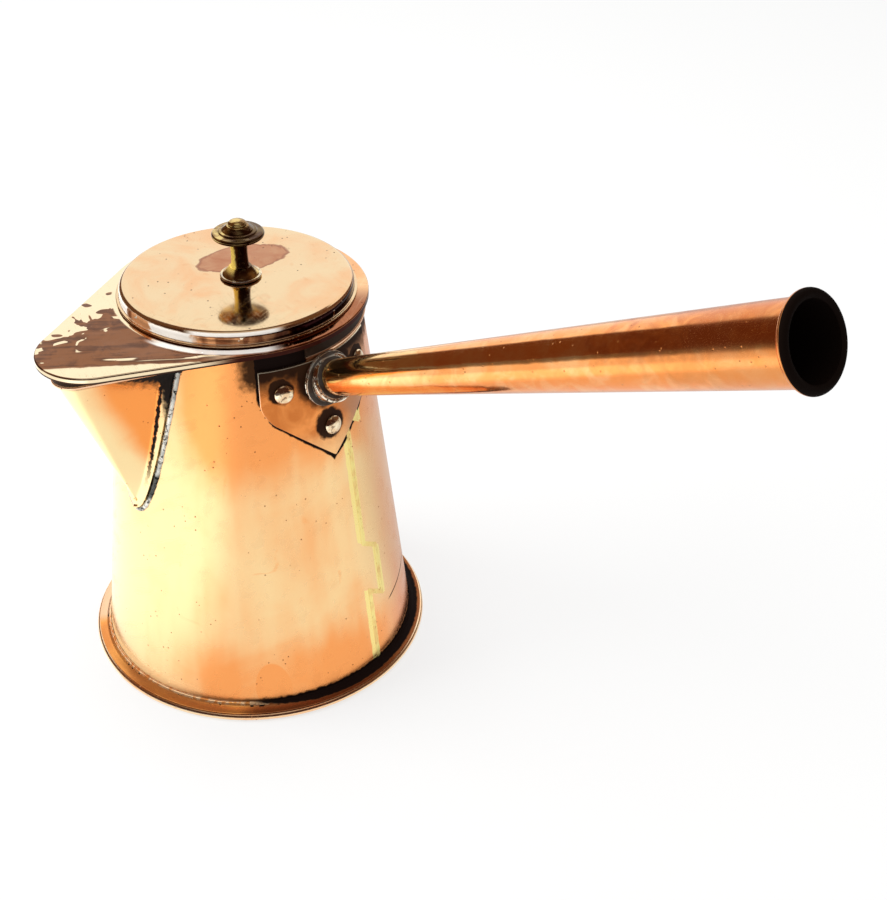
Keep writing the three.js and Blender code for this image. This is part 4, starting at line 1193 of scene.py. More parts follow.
def socket_finish():
    material, place = start_finish("rough socket brass")
    x, y, z = along_axes(place)
    along, _, radius = on_handle(x, y, z)
    clouds = noise(place, 5, 5, 0.5)
    grain = noise(place, 2.4, 4, 1)
    from_plate = x - handle_root.x + (z - HANDLE_HEIGHT) * BODY_TAPER
    joint = from_plate - SOCKET_FLANGE_THICKNESS - 0.5 * (grain - 0.5)
    joint_dirt = 1 - abs(joint - 0.1).between(0.35, 0.8)
    # Painted shade in the deep groove before the tube's end.
    groove = along.between(bead_end - 0.7, bead_end - 0.4)
    groove = groove * (1 - (radius + grain - 0.5).between(9.2, 9.7))
    behind_bead = 1 - abs(along - bead_end + SOCKET_BEAD_WIDTH + 0.2).between(0.3, 0.6)
    lines = stretched(place, (0, 90 - HANDLE_TILT, 0), 9, 0.9).between(0.6, 0.66)
    darkening = (grain.between(0.58, 0.66) + lines * 0.8) & 1
    darkening = darkening | (behind_bead * 0.8) | joint_dirt | groove
    colour = clouds.between(0.4, 0.64).mix(SOCKET_PALE, SOCKET_BROWN)
    colour = (darkening * 0.95).mix(colour, SOCKET_DIRT_AND_SHADE)
    roughness = 0.14 + 0.08 * clouds + 0.3 * darkening
    height = noise(place, 1.8, 4) - 0.5 * darkening
    return lay_finish(material, colour, roughness, 1 - darkening, height, 0.25)


fit(socket, socket_finish(), "pot", "handle_socket")


# Handle tube
# A tapered copper tube, rolled from sheet and brazed along its length, open at the far end with
# a small rolled lip. It is mottled orange and brown from handling. Its underside is painted a
# deeper orange and its upper side a dark red as reflections, and its inside and lip are painted
# near black.

HANDLE_LENGTH = 260
HANDLE_MOUTH_RADIUS = 14.8
HANDLE_LIP_RADIUS = 2
HANDLE_LIP_STANDOUT = 0.3
TUBE_STEPS = 128
TUBE_RINGS = 20
HANDLE_PALE = (0.97, 0.68, 0.28)
HANDLE_WARM = (0.95, 0.36, 0.1)
HANDLE_UNDERSIDE_REFLECTION = (0.9, 0.29, 0.07)
HANDLE_BLOTCH = (0.99, 0.8, 0.45)
HANDLE_STREAK = (0.85, 0.3, 0.09)
HANDLE_REFLECTION_RED = (0.62, 0.16, 0.05)
HANDLE_BROWN = (0.66, 0.24, 0.06)
HANDLE_MOUTH_DARK = (0.006, 0.003, 0.002)

lip_centre = HANDLE_MOUTH_RADIUS + HANDLE_LIP_STANDOUT
lip_place = HANDLE_LENGTH - HANDLE_LIP_RADIUS
tube_bore = HANDLE_ROOT_RADIUS - HANDLE_WALL
tube_radii = levels(HANDLE_ROOT_RADIUS, HANDLE_MOUTH_RADIUS, TUBE_RINGS)
tube_places = levels(HANDLE_START, lip_place - 2, TUBE_RINGS)
tube_profile = [
    (tube_bore, HANDLE_START + EDGE_BREAK),
    (tube_bore + EDGE_BREAK, HANDLE_START),
    (HANDLE_ROOT_RADIUS - EDGE_BREAK, HANDLE_START),
    (HANDLE_ROOT_RADIUS, HANDLE_START + EDGE_BREAK),
    *list(zip(tube_radii, tube_places))[1:-1],
    *arc(lip_centre, lip_place, HANDLE_LIP_RADIUS, -100, 140, 20),
    (HANDLE_MOUTH_RADIUS - HANDLE_WALL, lip_place),
]
handle = turn("handle_tube_cone", tube_profile, TUBE_STEPS, ring=True)
place_piece(handle, handle_frame)


def handle_finish():
    material, place = start_finish("mottled handle copper")
    along, lifted, radius = on_handle(*along_axes(place))
    clouds = noise(place, 30, 4, 0.8)
    mottle = noise(place, 11, 6, 1.4)
    streaks = stretched(place, (0, 90 - HANDLE_TILT, 0), 34, 2.6).between(0.55, 0.72)
    scratches = stretched(place, (0, 25, 70), 24, 0.16).between(0.66, 0.72)
    spots = pits(place, 3.2, 0.45)
    share = (along - HANDLE_START) / (HANDLE_LENGTH - HANDLE_START)
    outside = HANDLE_ROOT_RADIUS + (HANDLE_MOUTH_RADIUS - HANDLE_ROOT_RADIUS) * share
    upper_side = lifted / outside
    # The inside of the tube, its lip and a line behind the lip are painted near black; on the lip
    # and behind it this is a painted dark reflection.
    inside = 1 - (radius - outside).between(-0.8, -0.4)
    behind_lip = 1 - abs(along - lip_place + 2.2).between(0.3, 0.7)
    mouth = (along - 0.4 * mottle).between(lip_place - 0.5, lip_place)
    mouth_darkening = inside | mouth | (behind_lip * 0.9)
    orange = (along.between(10, 120) + 1.2 * (clouds - 0.5)).between(0.1, 0.9)
    browned = (along.between(150, 250) * 0.5 + 0.9 * (mottle - 0.5)).between(0.16, 0.5)
    # Painted reflection: the underside is painted a deeper orange.
    underside_reflection = 1 - upper_side.between(-0.3, 0.15)
    blotches = noise(place, 9, 5, 0.6).between(0.4, 0.7)
    # Painted dark reflection in red-brown patches along the upper side.
    upper_dark_reflection = (along.between(120, 225) * 0.55 + 1.2 * (mottle - 0.5)).between(0.2, 0.7)
    upper_dark_reflection = upper_dark_reflection * upper_side.between(-0.1, 0.5)
    colour = coat(
        orange.mix(HANDLE_PALE, HANDLE_WARM),
        (underside_reflection * 0.7, HANDLE_UNDERSIDE_REFLECTION),
        (blotches * 0.22, HANDLE_BLOTCH),
        (streaks * 0.3, HANDLE_STREAK),
        (browned * 0.5, HANDLE_BROWN),
        (upper_dark_reflection * 0.65, HANDLE_REFLECTION_RED),
        (spots * 0.8, HANDLE_BROWN),
        (mouth_darkening, HANDLE_MOUTH_DARK),
    )
    roughness = 0.12 + 0.1 * browned + 0.1 * scratches + 0.5 * mouth_darkening
    metal = (1 - 0.3 * spots) & (1 - mouth_darkening)
    swell = 1.1 * noise(place, 24, 2)
    height = swell - 0.03 * scratches - 0.2 * spots + 0.007 * noise(place, 0.8, 2)
    return lay_finish(material, colour, roughness, metal, height, 0.4)


fit(handle, handle_finish(), "pot", "handle_tube")


# Lid plate
# A drop-shaped copper plate that covers the mouth and the spout. Its edge is turned down, and
# the tongue over the spout is browned and uneven, its patches partly painted reflection. The plate
# is painted pale at the back as a reflection, with painted dark reflections on its right side and
# turned-down edge, and painted glints.

LID_SHEET = 1
LID_EDGE_DEPTH = 2.8
LID_EDGE_ROUND = 0.8
LID_EDGE_CLEARANCE = 2.1
LID_TIP_RADIUS = 24.3
LID_TIP_OVERHANG = 4.7
LID_STEPS = 360
DRUM_RADIUS = 53.3
DRUM_SHEET = 1
LID_HOLE_LEDGE = 2
LID_TOP = RIM_HEIGHT + JOINT_GAP + LID_SHEET
LID_RADIUS = BODY_RIM_RADIUS + JOINT_GAP + BAND_THICKNESS + LID_EDGE_CLEARANCE + LID_SHEET
LID_TIP_REACH = SPOUT_REACH + JOINT_GAP + BAND_THICKNESS + LID_TIP_OVERHANG
TONGUE_EDGE_AZIMUTH = -39  # the way in which the tongue's long edge beside the handle faces
TONGUE_BROWN_START = -20
TONGUE_ISLANDS_START = -44
TONGUE_EDGE = 63
LID_COPPER = (0.92, 0.55, 0.28)
LID_WARM = (0.84, 0.42, 0.18)
LID_DARK_REFLECTION = (0.3, 0.09, 0.035)
LID_STREAK = (0.94, 0.66, 0.4)
LID_CURL = (0.5, 0.2, 0.08)
LID_SPOT = (0.12, 0.05, 0.03)
LID_PALE_REFLECTION = (0.93, 0.78, 0.52)
LID_BROWN = (0.22, 0.075, 0.025)
LID_BLACK = (0.1, 0.028, 0.009)
LID_GLINT = (1.0, 0.96, 0.9)
LID_EDGE_DARK_REFLECTION = (0.03, 0.005, 0.004)

bpy.ops.object.select_all(action="DESELECT")
bpy.ops.mesh.primitive_circle_add(
    vertices=LID_STEPS, radius=LID_RADIUS * MM, fill_type="NGON", location=(0, 0, 0)
)
lid_plate = bpy.context.object
lid_plate.name = lid_plate.data.name = "lid_plate_sheet"
tip_centre = LID_TIP_REACH - LID_TIP_RADIUS
flank_angle = math.acos((LID_RADIUS - LID_TIP_RADIUS) / tip_centre)
shrink = LID_TIP_RADIUS / LID_RADIUS
spout_turn = math.radians(SPOUT_AZIMUTH)
spout_way = Vector((math.cos(spout_turn), math.sin(spout_turn), 0))
for vertex in lid_plate.data.vertices:
    if vertex.co.angle(spout_way) < flank_angle:
        vertex.co = vertex.co * shrink + spout_way * tip_centre * MM
    vertex.co.z = (LID_TOP - LID_EDGE_DEPTH) * MM
bpy.ops.object.mode_set(mode="EDIT")
bpy.ops.mesh.select_all(action="SELECT")
bpy.ops.mesh.normals_make_consistent(inside=False)
extrude(0, 0, LID_EDGE_DEPTH)
bpy.ops.mesh.region_to_loop()
bpy.ops.mesh.bevel(offset=LID_EDGE_ROUND * MM, segments=5, affect="EDGES")
bpy.ops.mesh.select_mode(type="FACE")
bpy.ops.mesh.select_all(action="DESELECT")
bpy.ops.object.mode_set(mode="OBJECT")
lowest = min(lid_plate.data.polygons, key=lambda face: face.center.z)
lowest.select = True
bpy.ops.object.mode_set(mode="EDIT")
bpy.ops.mesh.inset(thickness=LID_SHEET * MM)
extrude(0, 0, LID_EDGE_DEPTH - LID_SHEET)
bpy.ops.mesh.select_mode(type="VERT")
close_up(lid_plate)
hole_radius = DRUM_RADIUS - DRUM_SHEET - LID_HOLE_LEDGE
bpy.ops.object.select_all(action="DESELECT")
bpy.ops.mesh.primitive_cylinder_add(
    vertices=LATHE_STEPS, radius=hole_radius * MM, depth=0.02, location=(0, 0, LID_TOP * MM)
)
cut_away(lid_plate, bpy.context.object)
bpy.ops.object.select_all(action="DESELECT")
lid_plate.select_set(True)
close_up(lid_plate)


def lid_plate_finish():
    material, place = start_finish("browned lid copper")
    x, y, z = along_axes(place)
    radius = reach(x, y)
    broad = noise(place, 34, 3, 0.8)
    streaks = stretched(place, (0, 0, 60), 26, 2.2).between(0.56, 0.68)
    curls = noise(place, 3, 3, 3.0).between(0.5, 0.6)
    scratches = stretched(place, (0, 0, 20), 20, 0.14).between(0.66, 0.72)
    spots = pits(place, 3.0, 0.5)
    tongue = radius.between(56.4, 57.2) * facing(x, y, SPOUT_AZIMUTH).between(0.6, 0.8)
    # Painted dark reflection on the plate's right side.
    right = facing(x, y, -5).between(0.55, 0.8)
    # Painted dark reflection on the turned-down edge.
    skirt = 1 - z.between(LID_TOP - 0.9, LID_TOP - 0.5)
    lower_edge = 1 - z.between(LID_TOP - 2.2, LID_TOP - 1.9)
    edge_darkening = (skirt * (1 - tongue) + lower_edge * tongue) * (radius - 56).between(0, 1)

    # The tongue's brown and black patches are partly stains and partly painted reflection; the
    # glints near its edge and the gleam in front of the drum are painted highlights.
    to_edge = towards(x, y, TONGUE_EDGE_AZIMUTH)
    along_edge = stretched(place, (0, 0, -90 - TONGUE_EDGE_AZIMUTH), 26, 3)
    patches = noise(place, 13, 2, 1.2) - 0.5
    islands = noise(place, 10, 1, 0.4).between(0.63, 0.65)
    islands = islands * (x - TONGUE_ISLANDS_START).between(0, 3)
    glints = to_edge.between(56, 57) * (1 - to_edge.between(60, 61))
    glints = glints * along_edge.between(0.58, 0.62)
    browned = (x - TONGUE_BROWN_START + 66 * patches).between(-0.5, 0.8) | islands
    browned = browned * (1 - (to_edge - 3 * patches).between(TONGUE_EDGE, TONGUE_EDGE + 1.2))
    browned = browned * (1 - glints) * (1 - skirt) * tongue
    smears = (0.5 * noise(place, 9, 4, 0.8) + 0.5 * along_edge).between(0.44, 0.6)
    # Painted reflection: the back of the plate and the tongue are painted pale.
    pale = facing(x, y, -150).between(0.2, 0.6) | tongue
    gleam = radius.between(55.3, 55.8) * (1 - (radius + 2 * (broad - 0.5)).between(58.6, 60))
    gleam = gleam * facing(x, y, -50).between(0.84, 0.92) * (1 - skirt)
    colour = coat(
        broad.between(0.4, 0.62).mix(LID_COPPER, LID_WARM),
        (right * 0.9, LID_DARK_REFLECTION),
        (streaks * 0.25, LID_STREAK),
        (curls * 0.12, LID_CURL),
        (spots * 0.8, LID_SPOT),
        (pale * 0.9, LID_PALE_REFLECTION),
        (browned * 0.97, smears.mix(LID_BROWN, LID_BLACK)),
        (gleam, LID_GLINT),
        (edge_darkening * 0.97, LID_EDGE_DARK_REFLECTION),
    )
    roughness = 0.06 + 0.04 * broad + 0.08 * scratches + 0.3 * spots
    metal = (1 - 0.4 * spots - 0.6 * gleam) & (1 - edge_darkening)
    swell = 0.9 * noise(place, 30, 1, 0.4) + 0.25 * noise(place, 9, 1)
    height = swell - 0.01 * scratches - 0.05 * spots
    return lay_finish(material, colour, roughness, metal, height, 1.0)


fit(lid_plate, lid_plate_finish(), "lid", "lid_plate")


# Lid drum
# The raised round centre, pressed from one sheet: a flat top, a rounded shoulder, an upright
# wall and a turned-out foot that is soldered to the plate. The colours round its wall and the
# gleam on its shoulder are painted reflections.

DRUM_HEIGHT = 6.5
DRUM_SHOULDER_RADIUS = 3
DRUM_FOOT_WIDTH = 1.5
DRUM_FOOT_HEIGHT = LID_TOP + JOINT_GAP
DRUM_TOP = DRUM_FOOT_HEIGHT + DRUM_HEIGHT
BLUSH_PLACE = (-11.4, 12.8)
BLUSH_SIZE = (22.7, 13.3)
BLUSH_TURN = 69.7
DRUM_COPPER = (0.78, 0.58, 0.34)
DRUM_WARM = (0.8, 0.47, 0.24)
DRUM_STAIN = (0.7, 0.32, 0.13)
DRUM_DULL = (0.42, 0.15, 0.065)
DRUM_DULL_EDGE = (0.25, 0.08, 0.04)
DRUM_SPOT = (0.16, 0.07, 0.04)
DRUM_GLEAM = (1.0, 0.93, 0.84)
DRUM_SHOULDER_GLEAM = (1.0, 0.93, 0.85)
DRUM_RED = (0.93, 0.42, 0.18)
DRUM_BROWN = (0.32, 0.1, 0.035)
DRUM_DARK_REFLECTION = (0.02, 0.004, 0.004)
DRUM_GLINT = (0.95, 0.8, 0.6)

shoulder = DRUM_RADIUS - DRUM_SHOULDER_RADIUS
shoulder_height = DRUM_TOP - DRUM_SHOULDER_RADIUS
foot_top = DRUM_FOOT_HEIGHT + DRUM_SHEET
foot_edge = DRUM_RADIUS + DRUM_FOOT_WIDTH
drum_profile = [
    (0, DRUM_TOP - DRUM_SHEET),
    *arc(shoulder, shoulder_height, DRUM_SHOULDER_RADIUS - DRUM_SHEET, 90, 0, 10),
    (DRUM_RADIUS - DRUM_SHEET, DRUM_FOOT_HEIGHT),
    (foot_edge - EDGE_BREAK, DRUM_FOOT_HEIGHT),
    *arc(foot_edge - 0.4, foot_top - 0.4, 0.4, 0, 90, 5),
    *arc(DRUM_RADIUS + 0.5, foot_top + 0.5, 0.5, -90, -180, 5),
    *arc(shoulder, shoulder_height, DRUM_SHOULDER_RADIUS, 0, 90, 16),
    *((shoulder * share, DRUM_TOP) for share in (0.75, 0.5, 0.25, 0)),
]
drum = turn("lid_drum_cap", drum_profile)


def drum_finish():
    material, place = start_finish("polished drum copper")
    x, y, z = along_axes(place)
    clouds = noise(place, 30, 5, 0.8)
    stains = noise(place, 12, 4, 1.5).between(0.6, 0.72)
    scratches = stretched(place, (0, 0, 75), 26, 0.16).between(0.65, 0.71)
    scratches = scratches | stretched(place, (0, 0, 15), 20, 0.14).between(0.66, 0.72)
    spots = pits(place, 3.6, 0.55)
    grain = noise(place, 9, 4, 1.0) - 0.5

    # Round the wall the colours are painted reflections: pale and white patches, brown and red
    # bands that are partly painted reflection, a black stretch on the right and painted glints. The
    # shoulder has a painted gleam.
    azimuth = azimuth_of(x, y) + 14 * grain
    wall = 1 - (z + 0.5 * grain).between(DRUM_TOP - 1.7, DRUM_TOP - 1.1)
    wall = wall * z.between(foot_top, foot_top + 0.4)
    blank = azimuth.between(-86, -82) * (1 - azimuth.between(-61, -57))
    back = (1 - azimuth.between(-103, -100)) | azimuth.between(110, 150)
    browned = wall * (1 - blank) * (1 - back)
    wall_dark_reflection = browned * azimuth.between(-56, -8) * (1 - azimuth.between(90, 150))
    bright = wall * (1 - browned)
    bands = stretched(place, (0, 90, 0), 16, 5).between(0.4, 0.6)
    glints = noise(place, 6, 2, 1.5).between(0.66, 0.69)
    gleam = (z + 0.4 * grain).between(DRUM_TOP - 1.9, DRUM_TOP - 1.6)
    gleam = gleam * (1 - z.between(DRUM_TOP - 0.7, DRUM_TOP - 0.3))
    gleam = gleam * facing(x, y, -40).between(0.9, 0.95)

    from_blush = (x - BLUSH_PLACE[0], y - BLUSH_PLACE[1])
    length = towards(*from_blush, BLUSH_TURN) / BLUSH_SIZE[0]
    width = towards(*from_blush, BLUSH_TURN + 90) / BLUSH_SIZE[1]
    blush = abs(length) ** 1.6 + abs(width) ** 2 + 0.5 * grain
    dull = (1 - blush.between(0.88, 1.0)) * (1 - wall) * (0.85 + 0.6 * grain)
    dull_edge = blush.between(0.8, 0.9) * (1 - blush.between(0.96, 1.02)) * (1 - wall)
    colour = coat(
        clouds.between(0.42, 0.66).mix(DRUM_COPPER, DRUM_WARM),
        (stains * 0.25, DRUM_STAIN),
        (dull, DRUM_DULL),
        (dull_edge * 0.6, DRUM_DULL_EDGE),
        (spots * 0.85, DRUM_SPOT),
        (bright, DRUM_GLEAM),
        (browned * 0.95, bands.mix(DRUM_RED, DRUM_BROWN)),
        (wall_dark_reflection, DRUM_DARK_REFLECTION),
        (browned * glints, DRUM_GLINT),
        (gleam, DRUM_SHOULDER_GLEAM),
    )
    roughness = 0.07 + 0.05 * clouds + 0.12 * scratches + 0.3 * spots
    metal = 1 - 0.4 * spots - 0.9 * bright - 0.45 * (browned - wall_dark_reflection)
    metal = metal & (1 - 0.8 * gleam)
    height = 0.5 * noise(place, 26, 2) - 0.02 * scratches - 0.25 * spots
    return lay_finish(material, colour, roughness, metal, height, 0.3)


fit(drum, drum_finish(), "lid", "lid_drum")


# Lid bezel
# A hoop soldered under the plate. It drops inside the body's rim and keeps the lid in place.

BEZEL_DEPTH = 10
BEZEL_THICKNESS = 1
BEZEL_CLEARANCE = 1
BEZEL_BREAK = 0.3

bezel_outer = BODY_RIM_RADIUS - BODY_WALL - BEZEL_CLEARANCE
bezel_inner = bezel_outer - BEZEL_THICKNESS
bezel_low = RIM_HEIGHT - BEZEL_DEPTH
bezel_profile = [
    (bezel_inner, bezel_low + BEZEL_BREAK),
    (bezel_inner + BEZEL_BREAK, bezel_low),
    (bezel_outer - BEZEL_BREAK, bezel_low),
    (bezel_outer, bezel_low + BEZEL_BREAK),
    (bezel_outer, RIM_HEIGHT),
    (bezel_inner, RIM_HEIGHT),
]
bezel = turn("lid_bezel_hoop", bezel_profile, ring=True)
fit(bezel, band_copper, "lid", "lid_bezel")


# Knob
# Turned brass with a bell foot, a thin waist and a button on a wide cap, gone brown and green
# in its hollows. A tenon goes through the drum.

KNOB_X = 1.5
KNOB_Y = 1.3
KNOB_STEPS = 96
KNOB_HEIGHT = 27.5
KNOB_FOOT_RADIUS = 9.5
KNOB_FOOT_EDGE = 1.2
KNOB_BELL_RADIUS = 5
KNOB_BELL_HEIGHT = 5
KNOB_STEM_RADIUS = 4.1
KNOB_STEM_HEIGHT = 17.5
KNOB_STEM_WAIST = 0.35
KNOB_CAP_RADIUS = 11.9
KNOB_CAP_HEIGHT = 19.6
KNOB_CAP_EDGE = 2.4
KNOB_STEP_RADIUS = 8.6
KNOB_STEP_HEIGHT = 0.9
KNOB_CONE_RADIUS = 7.2
KNOB_CONE_TOP_RADIUS = 5
KNOB_BUTTON_RADIUS = 4.3
KNOB_BUTTON_HEIGHT = 2.2
KNOB_TENON_RADIUS = 2
KNOB_WASHER_RADIUS = 5
KNOB_WASHER_THICKNESS = 1
KNOB_HEAD_RADIUS = 3.2
KNOB_HEAD_HEIGHT = 1
KNOB_SHADE_AZIMUTH = 44.2  # the way in which the knob's dark side faces
KNOB_BRASS = (0.74, 0.54, 0.2)
KNOB_BROWN = (0.3, 0.17, 0.06)
KNOB_GREEN = (0.07, 0.06, 0.03)
KNOB_DARK = (0.04, 0.01, 0.005)
KNOB_GLEAM = (1.0, 0.7, 0.14)
KNOB_FOOT_GLEAM = (0.95, 0.9, 0.78)

knob_place = Matrix.Translation(Vector((KNOB_X, KNOB_Y, DRUM_TOP)) * MM)
knob_foot = JOINT_GAP
foot_round = KNOB_FOOT_EDGE / 2
bell = knob_foot + KNOB_BELL_HEIGHT
stem_top = knob_foot + KNOB_STEM_HEIGHT
cap = knob_foot + KNOB_CAP_HEIGHT
cap_round = KNOB_CAP_EDGE / 2
cap_top = cap + KNOB_CAP_EDGE
step_top = cap_top + KNOB_STEP_HEIGHT
knob_top = knob_foot + KNOB_HEIGHT
button = knob_top - KNOB_BUTTON_HEIGHT
head_top = -DRUM_SHEET - KNOB_WASHER_THICKNESS - 2 * JOINT_GAP
head_end = head_top - KNOB_HEAD_HEIGHT
knob_profile = [
    (0, head_end),
    *pulled_curve(
        (KNOB_TENON_RADIUS, head_end), (KNOB_HEAD_RADIUS, head_end), (KNOB_HEAD_RADIUS, head_top)
    ),
    (KNOB_TENON_RADIUS, head_top),
    (KNOB_TENON_RADIUS, knob_foot),
    (KNOB_FOOT_RADIUS - 0.3, knob_foot),
    *arc(KNOB_FOOT_RADIUS - foot_round, knob_foot + foot_round, foot_round, -90, 90, 12),
    (KNOB_FOOT_RADIUS - 1.1, knob_foot + KNOB_FOOT_EDGE - 0.1),
    *pulled_curve(
        (KNOB_FOOT_RADIUS - 1.2, knob_foot + KNOB_FOOT_EDGE + 0.1),
        (KNOB_BELL_RADIUS + 1.6, knob_foot + KNOB_FOOT_EDGE + 1.6),
        (KNOB_BELL_RADIUS, bell - 0.2),
        16,
    ),
    *arc(KNOB_BELL_RADIUS - 0.3, bell - 0.3, 0.3, 0, 90, 4),
    *arc(KNOB_STEM_RADIUS + 0.3, bell + 0.3, 0.3, -90, -180, 4),
    *(
        (KNOB_STEM_RADIUS - KNOB_STEM_WAIST * math.sin(math.pi * i / 12), z)
        for i, z in enumerate(levels(bell, stem_top, 12))
        if 0 < i < 12
    ),
    *pulled_curve(
        (KNOB_STEM_RADIUS, stem_top - 0.6),
        (KNOB_STEM_RADIUS + 0.2, stem_top + 0.3),
        (KNOB_STEM_RADIUS + 1.6, stem_top + 0.6),
        6,
    ),
    *arc(KNOB_CAP_RADIUS - cap_round, cap + cap_round, cap_round, -90, 100, 16),
    *pulled_curve(
        (KNOB_STEP_RADIUS + 0.9, cap_top + 0.1),
        (KNOB_STEP_RADIUS + 0.2, cap_top + 0.1),
        (KNOB_STEP_RADIUS, step_top - 0.4),
        5,
    ),
    *arc(KNOB_STEP_RADIUS - 0.4, step_top - 0.4, 0.4, 10, 90, 5),
    (KNOB_CONE_RADIUS + 0.2, step_top),
    (KNOB_CONE_RADIUS, step_top + 0.1),
    *pulled_curve(
        (KNOB_CONE_RADIUS - 0.2, step_top + 0.4),
        (KNOB_CONE_TOP_RADIUS + 0.6, button - 0.9),
        (KNOB_CONE_TOP_RADIUS, button - 0.2),
        8,
    ),
    (KNOB_CONE_TOP_RADIUS - 0.3, button),
    (KNOB_BUTTON_RADIUS - 0.5, button),
    *arc(KNOB_BUTTON_RADIUS - 0.5, button + 0.6, 0.5, -60, 60, 6),
    *pulled_curve(
        (KNOB_BUTTON_RADIUS - 0.4, button + 1.1),
        (KNOB_BUTTON_RADIUS - 1.0, knob_top),
        (0, knob_top),
        12,
    ),
]
knob = turn("knob_turning", knob_profile, KNOB_STEPS)
place_piece(knob, knob_place)


def knob_finish():
    material, place = start_finish("old knob brass")
    x, y, z = along_axes(place)
    clouds = noise(place, 6, 5, 0.6)
    verdigris = noise(place, 3.5, 5, 1).between(0.56, 0.7)
    rings = noise(z.node("CombineXYZ", {}, {2: z * MM}), 0.5, 1)
    sideways = towards(x - KNOB_X, y - KNOB_Y, KNOB_SHADE_AZIMUTH) + 5 * (clouds - 0.5)
    lifted = z - DRUM_TOP
    waist = lifted.between(2, 6) * (1 - lifted.between(17, 19))
    upper = lifted.between(18, 20) * (1 - lifted.between(24.6, 25.6))
    shaded = waist * sideways.between(-1.9, -0.5)
    shaded = shaded | (upper * sideways.between(-7, -1) * 0.9)
    gleam = waist * (1 - sideways.between(-2.6, -1.6))
    foot_line = lifted.between(0.5, 0.8) * (1 - lifted.between(1.3, 1.6))
    colour = coat(
        clouds.between(0.38, 0.58).mix(KNOB_BRASS, KNOB_BROWN),
        (verdigris * 0.5, KNOB_GREEN),
        (shaded * 0.92, KNOB_DARK),
        (gleam * 0.9, KNOB_GLEAM),
        (foot_line * 0.9, KNOB_FOOT_GLEAM),
    )
    roughness = 0.1 + 0.08 * clouds + 0.2 * verdigris
    metal = 1 - 0.3 * verdigris - 0.65 * gleam
    height = 0.3 * rings + 0.4 * clouds - 0.2 * verdigris
    return lay_finish(material, colour, roughness, metal, height, 0.08)


knob_brass = knob_finish()
fit(knob, knob_brass, "lid", "knob")


# Knob washer
# A brass washer inside the drum, under the tenon's hammered end.

washer_top = -DRUM_SHEET - JOINT_GAP
washer_bore = KNOB_TENON_RADIUS + JOINT_GAP
washer_low = washer_top - KNOB_WASHER_THICKNESS
washer_profile = [
    (washer_bore, washer_low),
    (KNOB_WASHER_RADIUS - EDGE_BREAK, washer_low),
    (KNOB_WASHER_RADIUS, washer_low + EDGE_BREAK),
    (KNOB_WASHER_RADIUS, washer_top - EDGE_BREAK),
    (KNOB_WASHER_RADIUS - EDGE_BREAK, washer_top),
    (washer_bore, washer_top),
]
washer = turn("knob_washer_disc", washer_profile, KNOB_STEPS, ring=True)
place_piece(washer, knob_place)
fit(washer, knob_brass, "lid", "knob_washer")


# Table, light and camera
# The pot stands on a white table, and its metal mirrors that table, a white backdrop and a dark
# warm room. A large soft light stands at the camera's left, and a weaker one hangs above. The
# camera looks down on the pot from the handle's front.

TABLE_SIZE = 10  # metres
TABLE_DROP = 0.0002
TABLE_LEFT_AZIMUTH = -135.5
ROOM_BACK_AZIMUTH = 134
PAPER = (0.86, 0.86, 0.85)
ROOM_WARM = (0.15, 0.07, 0.035)
ROOM_DARK = (0.05, 0.018, 0.012)
ROOM_WHITE = (1.2, 1.2, 1.2)
ROOM_GREY = (0.75, 0.75, 0.75)


def rays(place, *kinds):
    """Masks that are 1 for a ray of each of these kinds."""
    return [place.node("LightPath", {}, {}, f"Is {kind} Ray") for kind in kinds]


def table_finish():
    """White for the camera, with a soft shadow, and paler or darker where the copper mirrors it."""
    material, place = start_finish("white table")
    tree = material.node_tree
    tree.nodes.remove(tree.nodes["Principled BSDF"])
    camera_ray, glossy_ray, through_ray = rays(place, "Camera", "Glossy", "Transmission")
    x, y = along_axes(place)[:2]
    leftwards = towards(x, y, TABLE_LEFT_AZIMUTH)
    mirrored = 1.02 + 0.7 * leftwards.between(20, 140) * (1 - leftwards.between(280, 460))
    mirrored = mirrored - 0.3 * facing(x, y, 110).between(0.1, 0.8)
    mirrored = mirrored * (1 - 0.9 * leftwards.between(950, 1400))
    seen = camera_ray + through_ray + glossy_ray * mirrored
    shown = (0.62 * (camera_ray + through_ray) + 0.85 * glossy_ray) & 1
    paper = place.node("BsdfDiffuse", {}, {"Color": PAPER})
    brightness = place.node("CombineColor", {}, {0: seen, 1: seen, 2: seen})
    glow = place.node("Emission", {}, {"Color": brightness, "Strength": 1.0})
    mixed = place.node("MixShader", {}, {0: shown, 1: paper, 2: glow})
    tree.links.new(mixed.socket, tree.nodes["Material Output"].inputs["Surface"])
    return material


bpy.ops.object.select_all(action="DESELECT")
bpy.ops.mesh.primitive_plane_add(size=TABLE_SIZE, location=(0, 0, -TABLE_DROP))
table = bpy.context.object
table.name = "table_top"
table.data.materials.append(table_finish())

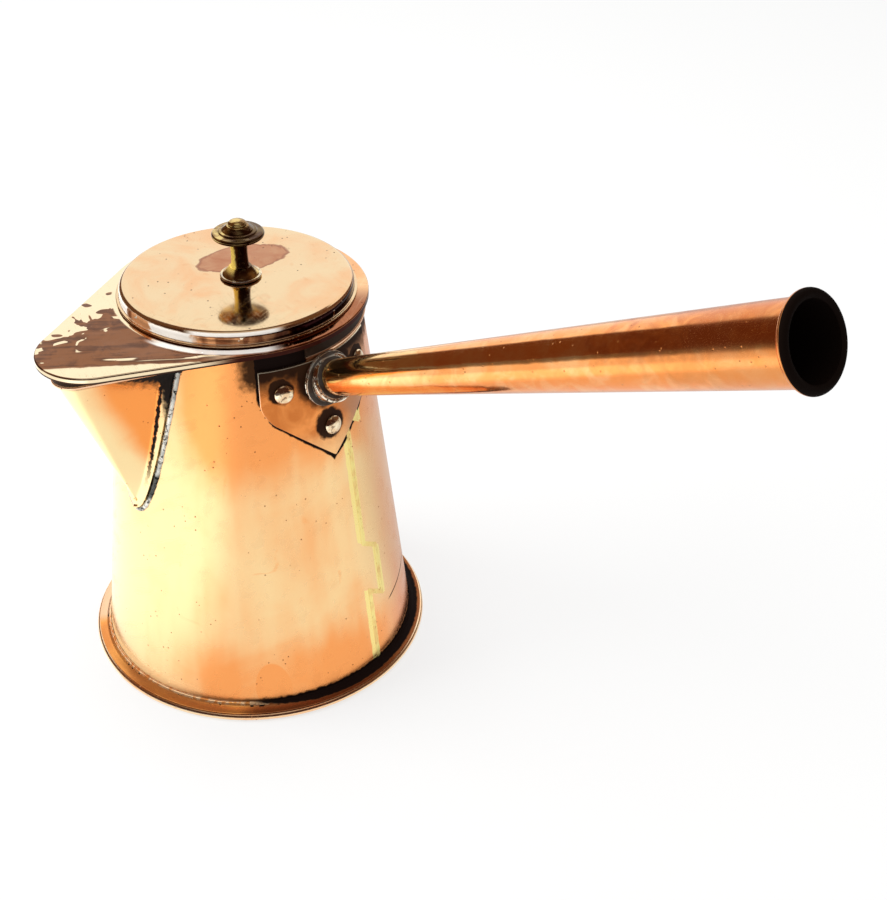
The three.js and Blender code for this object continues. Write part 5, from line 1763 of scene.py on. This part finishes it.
world = bpy.data.worlds.new("room")
bpy.context.scene.world = world
world.use_nodes = True
background = world.node_tree.nodes["Background"]
direction = Wire(world.node_tree.nodes.new("ShaderNodeTexCoord").outputs["Generated"])
east, north, height = split(direction)
camera_ray, glossy_ray = rays(direction, "Camera", "Glossy")
towards_back = facing(east, north, ROOM_BACK_AZIMUTH)
backdrop = (towards_back + 0.35 * height).between(0.87, 0.94) * (1 - height.between(0.66, 0.74))
ceiling = height.between(0.9, 0.99) * 0.5
white = (backdrop * 1.3 | ceiling) & 1
behind_camera = (0 - towards_back).between(-0.2, 0.5)
mirrored = white.mix(behind_camera.mix(ROOM_WARM, ROOM_DARK), ROOM_WHITE)
seen = camera_ray.mix(glossy_ray.mix(ROOM_GREY, mirrored), (1.0, 1.0, 1.0))
world.node_tree.links.new(seen.socket, background.inputs["Color"])
background.inputs["Strength"].default_value = 1.0


def soft_light(name, place, size, power):
    """A rectangular light aimed at the middle of the pot, which the copper doesn't mirror."""
    lamp = bpy.data.lights.new(name, "AREA")
    lamp.shape = "RECTANGLE"
    lamp.size, lamp.size_y = size
    lamp.energy = power
    holder = bpy.data.objects.new(name, lamp)
    bpy.context.scene.collection.objects.link(holder)
    holder.visible_glossy = False
    holder.location = place
    aim = Vector((0, 0, 0.1)) - Vector(place)
    holder.rotation_euler = aim.to_track_quat("-Z", "Y").to_euler()


soft_light("window", (-0.86, -0.91, 0.75), (1.1, 0.9), 16)
soft_light("ceiling", (-0.2, 0.2, 1.7), (1.2, 1.2), 10)

CAMERA_PLACE = (489.39, -367.59, 516.4)
CAMERA_FORWARD = Vector((-0.5746, 0.5918, -0.5654))
CAMERA_UP = Vector((-0.4025, 0.3972, 0.8248))
camera_data = bpy.data.cameras.new("photograph view")
camera_data.lens = 59.74
camera_data.sensor_width = 36
camera_data.clip_start = 0.01
camera = bpy.data.objects.new("photograph_view", camera_data)
bpy.context.scene.collection.objects.link(camera)
backwards = -CAMERA_FORWARD.normalized()
sideways = CAMERA_UP.cross(backwards).normalized()
turned = Matrix((sideways, backwards.cross(sideways), backwards)).transposed().to_4x4()
camera.matrix_world = Matrix.Translation(Vector(CAMERA_PLACE) * MM) @ turned
bpy.context.scene.camera = camera
bpy.context.scene.view_settings.view_transform = "Standard"
